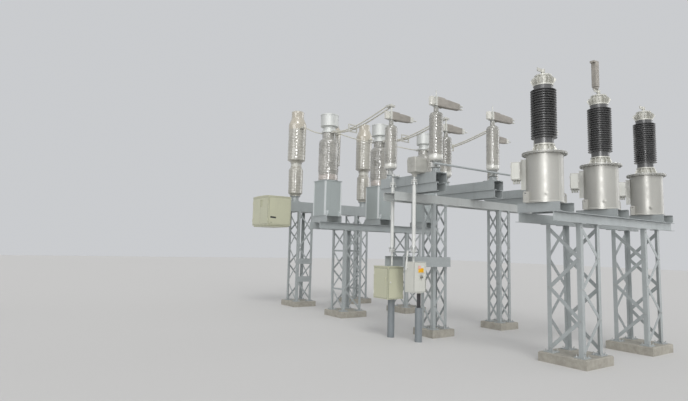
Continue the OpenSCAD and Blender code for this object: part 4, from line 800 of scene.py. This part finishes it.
def make_vt_bolts():
    """Bolts through the lid's flange, on the castings' foot and on their crown."""
    bolts = Parts()
    lid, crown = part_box("vt_tanks")[1].z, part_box("vt_castings")[1].z
    rim = VT_LID_R - 0.022
    for phase in PHASES:
        c = at(VT_AT[0] + phase * PHASE, VT_AT[1])
        bolts.bolt_ring(c, rim, 24, lid, 0.013, stud=0.018)
        bolts.bolt_ring(c, rim, 24, lid - VT_LID_T, 0.013, DOWN)
        bolts.bolt_ring(c, VT_FOOT_R - 0.015, 12, lid + 0.02, 0.012, turn=0.5)
        bolts.bolt_ring(c, VT_CROWN_R - 0.015, 12, crown, 0.011, turn=0.5)
    bolts.make("vt_bolts", STEEL, "root", "casting")


def make_ct_bolts():
    """Six bolts along each edge of the tank's lid, and a ring on the head."""
    bolts = Parts()
    lid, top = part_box("ct_tanks")[1].z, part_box("ct_heads")[1].z
    span, count = 0.42, 6
    for phase in PHASES:
        c = at(phase * PHASE, CT_AT[1])
        for i in range(count):
            t = span * (i / (count - 1) - 0.5)
            for s in SIDES:
                bolts.bolt(Vector((c.x + t, c.y + s * (CT_HALF[1] - 0.013), lid)), UP, 0.011)
                bolts.bolt(Vector((c.x + s * (CT_HALF[0] - 0.012), c.y + t * 1.1, lid)), UP, 0.011)
        bolts.bolt_ring(c, 0.13, 12, top, 0.011)
    bolts.make("ct_bolts", STEEL, "root", "head_paint")


def make_cb_bolts():
    bolts = Parts()
    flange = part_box("cb_feet")[0].z + 0.022
    for phase in PHASES:
        bolts.bolt_ring(at(phase * POLE, CB_AT[1]), 0.133, 8, flange, 0.015, turn=0.5)
    bolts.make("cb_bolts", STEEL, "root", "galvanised")


def make_ds_bolts():
    """Four bolts round each bearing, and four at the corners of the plate under it."""
    bolts = Parts()
    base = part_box("ds_bearings")[0].z
    for phase in PHASES:
        for y in (-POST_Y, POST_Y):
            bolts.bolt_ring(at(phase * PHASE, y), 0.094, 4, base + 0.016, 0.011, turn=0.5)
            for dx, dy in CORNERS:
                bolts.bolt(at(phase * PHASE + dx * 0.128, y + dy * 0.125, base), UP, 0.013)
    bolts.make("ds_bolts", STEEL, "root", "galvanised")


make_tower_bolts()
make_vt_bolts()
make_ct_bolts()
make_cb_bolts()
make_ds_bolts()


# Seams, hinges, locks and small fittings
SEAM_W, SEAM_D = 0.004, 0.002


def strips(low, high, wide):
    """Four strips round a panel, each as two corners in its plane."""
    (u0, v0), (u1, v1) = low, high
    return [((u0 - wide, v0 - wide), (u1 + wide, v0)), ((u0 - wide, v1), (u1 + wide, v1 + wide)),
            ((u0 - wide, v0), (u0, v1)), ((u1, v0), (u1 + wide, v1))]


def seam_x(parts, x, low, high):
    """A seam round a panel on a face that looks along X; low and high are (y, z)."""
    for (y0, z0), (y1, z1) in strips(low, high, SEAM_W):
        parts.box((x - SEAM_D, y0, z0), (x + SEAM_D, y1, z1), moved(0, 0))


def seam_y(parts, y, low, high, wide=SEAM_W, deep=SEAM_D, place=None):
    """The same on a face that looks along Y; low and high are (x, z). With a place, they are local."""
    for (x0, z0), (x1, z1) in strips(low, high, wide):
        parts.box((x0, y - deep, z0), (x1, y + deep, z1), place or moved(0, 0))


def fit_vt_box(gap, metal, place):
    """A seam round the terminal box's cover, screws, hinges, a latch and the glands below."""
    mid, front, top = 0.43, 0.1, 0.29
    left, right = mid - 0.063, mid + 0.063
    seam_y(gap, front, (left, 0.01), (right, top - 0.01), 0.003, 0.0015, place)
    for x in (left + 0.01, right - 0.01):
        for z in (0.022, top - 0.022):
            metal.lathe([(0.006, 0), (0.006, 0.003), (0.004, 0.005)], 12,
                        place @ Matrix.Translation((x, front + 0.0075, z)) @ facing((0, 1, 0)))
    for z in (0.05, 0.2):
        metal.hinge(place @ Vector((right + 0.012, front, z)), 0.04, 0.006)
    metal.box((left - 0.012, front - 0.01, 0.13), (left + 0.005, front + 0.014, 0.16), place)
    for x in (mid - 0.04, mid, mid + 0.04):
        metal.lathe([(0.021, -0.004), (0.021, -0.018)], 6, place @ Matrix.Translation((x, 0, 0)))


def make_vt_fittings():
    """The joint below the lid, two welds on the tank, and the terminal box."""
    gap, metal = Parts(), Parts()
    tank_low, tank_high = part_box("vt_tanks")
    foot, joint = tank_low.z + 0.023, tank_high.z - VT_LID_T / 2
    box_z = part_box("vt_boxes")[0].z + 0.16
    for phase in PHASES:
        c = at(VT_AT[0] + phase * PHASE, VT_AT[1])
        axis = Matrix.Translation(c)
        edge = VT_LID_R + 0.0002
        gap.lathe([(edge, joint - 0.0025), (edge + 0.0006, joint - 0.0015), (edge + 0.0006, joint + 0.0015),
                   (edge, joint + 0.0025)], 72, axis)
        side = VT_TANK_R + 0.0005
        metal.lathe([(side, foot), (side + 0.0045, foot + 0.001), (side, foot + 0.007)], 72, axis)
        metal.box((side - 0.003, -0.003, foot + 0.007), (side + 0.0012, 0.003, tank_high.z - 0.032),
                  axis @ turned(262))
        fit_vt_box(gap, metal, Matrix.Translation(c + Vector((0, 0, box_z))) @ turned(118))
    gap.make("vt_gaps", DARK, "root", "tank_paint")
    metal.make("vt_fittings", LOOKS["box_grey"], "root", "box_grey", 40)


def fit_motor_box(gap, metal):
    """Door seams on two sides, hinges, and a lock on the front."""
    low, high = bay_box("ds_motor_box")
    z0, z1 = low.z + 0.022, high.z - 0.044
    seam_x(gap, low.x + 0.016, (low.y + 0.033, z0), (high.y - 0.022, z1))
    seam_y(gap, low.y + 0.011, (low.x + 0.038, z0), (high.x - 0.022, z1))
    for z in (low.z + 0.09, high.z - 0.17):
        metal.hinge(at(low.x + 0.008, high.y - 0.0155, z), 0.07)
        metal.hinge(at(high.x - 0.017, low.y + 0.0025, z), 0.07)
    metal.lathe([(0.017, 0), (0.017, 0.012), (0.012, 0.016)], 20,
                moved(low.x + 0.071, low.y + 0.005, low.z + 0.33) @ facing(FRONT))


def make_padlock(x, y, z):
    """A half ring of short bars over a flat body."""
    lock = Parts()
    wide, high, count = 0.022, 0.028, 9
    bow = [at(x + wide * math.cos(math.pi * k / count), y, z + high * math.sin(math.pi * k / count))
           for k in range(count + 1)]
    for a, b in zip(bow, bow[1:]):
        lock.rod(a, b, 0.005, 10)
    lock.box(at(x - 0.027, y - 0.01, z - 0.033), at(x + 0.027, y + 0.014, z + 0.003))
    lock.make("hand_box_lock", LOCK, "root", "box_grey", 40)


def fit_hand_box(gap, metal, white):
    """Door seam, hinge strip, hinges, padlock, glands below, and the crank stowed beside the box."""
    low, high = bay_box("ds_hand_box")
    door = low.y + 0.032
    seam_y(gap, door, (low.x + 0.016, low.z + 0.016), (high.x - 0.016, high.z - 0.016))
    strip = high.x - 0.013
    gap.box(at(strip - 0.006, door - 0.009, low.z + 0.015), at(strip, door + 0.001, low.z + 0.26))
    metal.box(at(strip, door - 0.01, low.z + 0.01), at(strip + 0.012, door + 0.001, low.z + 0.265))
    for up in (0.34, 0.48):
        metal.hinge(at(strip + 0.003, door - 0.007, low.z + up))
    make_padlock(low.x + 0.185, door - 0.022, low.z + 0.303)
    for k in (-1, 0, 1):
        metal.lathe([(0.022, 0.002), (0.022, -0.022), (0.018, -0.03)], 6,
                    moved(high.x - 0.07 + 0.034 * k, door + 0.12, low.z))
    white.lathe([(0.02, 0.002), (0.02, -0.02), (0.013, -0.03)], 20, moved(low.x + 0.05, door + 0.08, low.z))
    y = door + 0.19
    white.rod(at(low.x - 0.022, y, low.z + 0.42), at(low.x + 0.016, y, low.z + 0.79), 0.019, 20)
    white.box(at(low.x - 0.035, y - 0.02, low.z + 0.455), at(low.x + 0.001, y + 0.02, low.z + 0.485))


def fit_knob_plate(white):
    """Plain coloured fields on the plate behind the knob: two above its middle, one below."""
    low, high = bay_box("ds_hand_knob")
    x, z, front = (low.x + high.x) / 2, (low.z + high.z) / 2, high.y - 0.0012
    back = high.y + 0.009
    plate = Parts()
    plate.box(at(x - 0.085, front, z + 0.022), at(x - 0.025, back, z + 0.078))
    plate.make("knob_plate_field", PALE_PLATE, "root", "box_grey")
    white.box(at(x - 0.021, front, z + 0.022), at(x + 0.048, back, z + 0.078))
    yellow = Parts()
    yellow.box(at(x - 0.082, front - 0.0004, z - 0.052), at(x + 0.044, back, z + 0.018))
    yellow.make("knob_plate_yellow", LOOKS["knob_yellow"], "root", "knob_yellow")


def make_coupling_studs(body, y):
    """The round flanges of a tube's two couplings are held by four studs each."""
    studs = Parts()
    circle, length, nut = 0.047, 0.064, 0.008
    for z0 in COUPLING_Z:
        for k in range(4):
            a = math.pi * (0.25 + 0.5 * k)
            place = moved(DRIVE_X + circle * math.cos(a), y + circle * math.sin(a), z0 - nut)
            studs.lathe([(0.0055, 0), (0.0055, length)], 10, place)
            for z in (0.0, length - nut):
                studs.lathe([(0.01, z), (0.01, z + nut)], 6, place)
    studs.make(body + "_studs", STEEL, body, "drive_white")


def make_split_clamps(body, y):
    """A split clamp above the lower coupling and below the upper one, with an ear on each side."""
    clamp, gap_line = Parts(), Parts()
    mid, ear_x, slit = 0.0225, 0.055, 0.005
    for z0 in (COUPLING_Z[0] + 0.052, COUPLING_Z[1] - 0.05):
        place = moved(DRIVE_X, y, z0) @ turned(-30)
        clamp.lathe([(0.042, 0.0), (0.044, 0.002), (0.044, 0.043), (0.042, 0.045)], 48, place)
        for s in SIDES:
            near, far = (slit, slit + 0.012) if s > 0 else (-slit - 0.012, -slit)
            clamp.box((-0.066, near, 0.006), (0.066, far, 0.039), place)
            ear = place @ Matrix.Translation((s * ear_x, 0, mid))
            clamp.rod(ear @ Vector((0, -0.03, 0)), ear @ Vector((0, 0.032, 0)), 0.005)
            for w in SIDES:
                clamp.lathe([(0.011, 0.017), (0.011, 0.026)], 6, ear @ facing((0, w, 0)))
            gap_line.box((s * 0.0425 - 0.004, -slit, 0.008), (s * 0.0425 + 0.004, slit, 0.037), place)
    clamp.make(body + "_clamps", STEEL, body, "drive_white", 35)
    gap_line.make(body + "_clamp_gaps", DARK, body, "drive_white")


def make_drive_fittings():
    gap, metal, white = Parts(), Parts(), Parts()
    fit_motor_box(gap, metal)
    fit_hand_box(gap, metal, white)
    fit_knob_plate(white)
    for body, y in DRIVES.items():
        make_coupling_studs(body, y)
        make_split_clamps(body, y)
    gap.make("drive_gaps", DARK, "root", "box_grey", 30)
    metal.make("drive_fittings", LOOKS["box_grey"], "root", "box_grey", 40)
    white.make("drive_white_fittings", LOOKS["drive_white"], "root", "drive_white", 40)


def make_cabinet_fittings():
    """Seams round the doors, the line between them, the slot and lock, hinges and screws."""
    gap, metal = Parts(), Parts()
    low, high = bay_box("cb_cabinet")
    z0, z1 = low.z + 0.07, high.z - 0.066
    front = low.y + 0.003
    seam_x(gap, low.x + 0.008, (low.y + 0.038, z0), (high.y - 0.038, z1))
    seam_y(gap, low.y + 0.008, (low.x + 0.038, z0), (high.x - 0.03, z1))
    y = CB_AT[1] - 0.004
    gap.box(at(low.x + 0.0018, y - 0.0015, z0 + 0.02), at(low.x + 0.0035, y + 0.0015, z1 - 0.02))
    slot = moved(low.x + 0.168, front, low.z + 0.26) @ turned(4, "Y")
    gap.box((-0.09, -0.0015, -0.024), (0.09, 0.001, 0.024), slot)
    gap.lathe([(0.011, 0), (0.011, 0.004)], 16, moved(low.x + 0.108, front, low.z + 0.11) @ facing(FRONT))
    for y in (low.y + 0.025, high.y - 0.025):
        for z in (low.z + 0.16, high.z - 0.236):
            metal.hinge(at(low.x + 0.001, y, z), 0.08, 0.009)
    screw = [(0.009, 0), (0.009, 0.004), (0.006, 0.007)]
    for x in (low.x + 0.078, high.x - 0.07):
        for z in (low.z + 0.11, high.z - 0.106):
            metal.lathe(screw, 12, moved(x, front, z) @ facing(FRONT))
    gap.make("cabinet_gaps", DARK, "root", "cabinet_cream", 30)
    metal.make("cabinet_fittings", LOOKS["cabinet_cream"], "root", "cabinet_cream", 40)


make_vt_fittings()
make_drive_fittings()
make_cabinet_fittings()


# Floor, world and lamps
def sheen_panel(name, where, towards, size, watts):
    """A large panel that looks from one point of the bay to another. It shows as a sheen on smooth
    surfaces and lights nothing."""
    data = bpy.data.lights.new(name, "AREA")
    data.shape = "RECTANGLE"
    data.size, data.size_y = size
    data.energy = watts
    o = show(name, data)
    o.visible_diffuse = False
    a, b = at(*where), at(*towards)
    o.matrix_world = Matrix.Translation(a) @ (b - a).to_track_quat("-Z", "Y").to_matrix().to_4x4()


def far_lamp(name, along, energy, spread, shines=True):
    """A soft light from far off, spread degrees wide, which lights the whole floor evenly."""
    data = bpy.data.lights.new(name, "SUN")
    data.energy, data.angle = energy, math.radians(spread)
    o = show(name, data)
    o.visible_glossy = shines
    o.matrix_world = Vector(along).to_track_quat("-Z", "Y").to_matrix().to_4x4()


def make_stage():
    mesh = bpy.data.meshes.new("floor")
    half = 60
    mesh.from_pydata([(-half, -half, 0), (half, -half, 0), (half, half, 0), (-half, half, 0)], [],
                     [(0, 1, 2, 3)])
    floor = show("floor", mesh)
    n = Nodes("floor")
    n.set("Base Color", (0.6, 0.59, 0.575))
    n.set("Roughness", 0.9)
    n.set("Specular IOR Level", 0.0)
    mesh.materials.append(n.material)
    world = bpy.data.worlds.new("world")
    scene.world = world
    world.use_nodes = True
    background = world.node_tree.nodes["Background"]
    background.inputs["Color"].default_value = (0.95, 0.97, 1.0, 1)
    background.inputs["Strength"].default_value = 0.62
    sheen_panel("sheen_panel", (-10.7, -9.7, 4.5), (-1.0, 0.0, 3.6), (3, 6), 900)
    far_lamp("high_light", (0.295, 0.616, -0.731), 1.0, 25)
    far_lamp("front_light", (0.178, 0.947, -0.266), 0.7, 40, shines=False)
    far_lamp("left_light", (0.926, 0.331, -0.185), 0.65, 35)
    far_lamp("rim_light", (-0.945, 0.253, -0.208), 0.5, 35)


make_stage()
scene.view_settings.view_transform = "Standard"
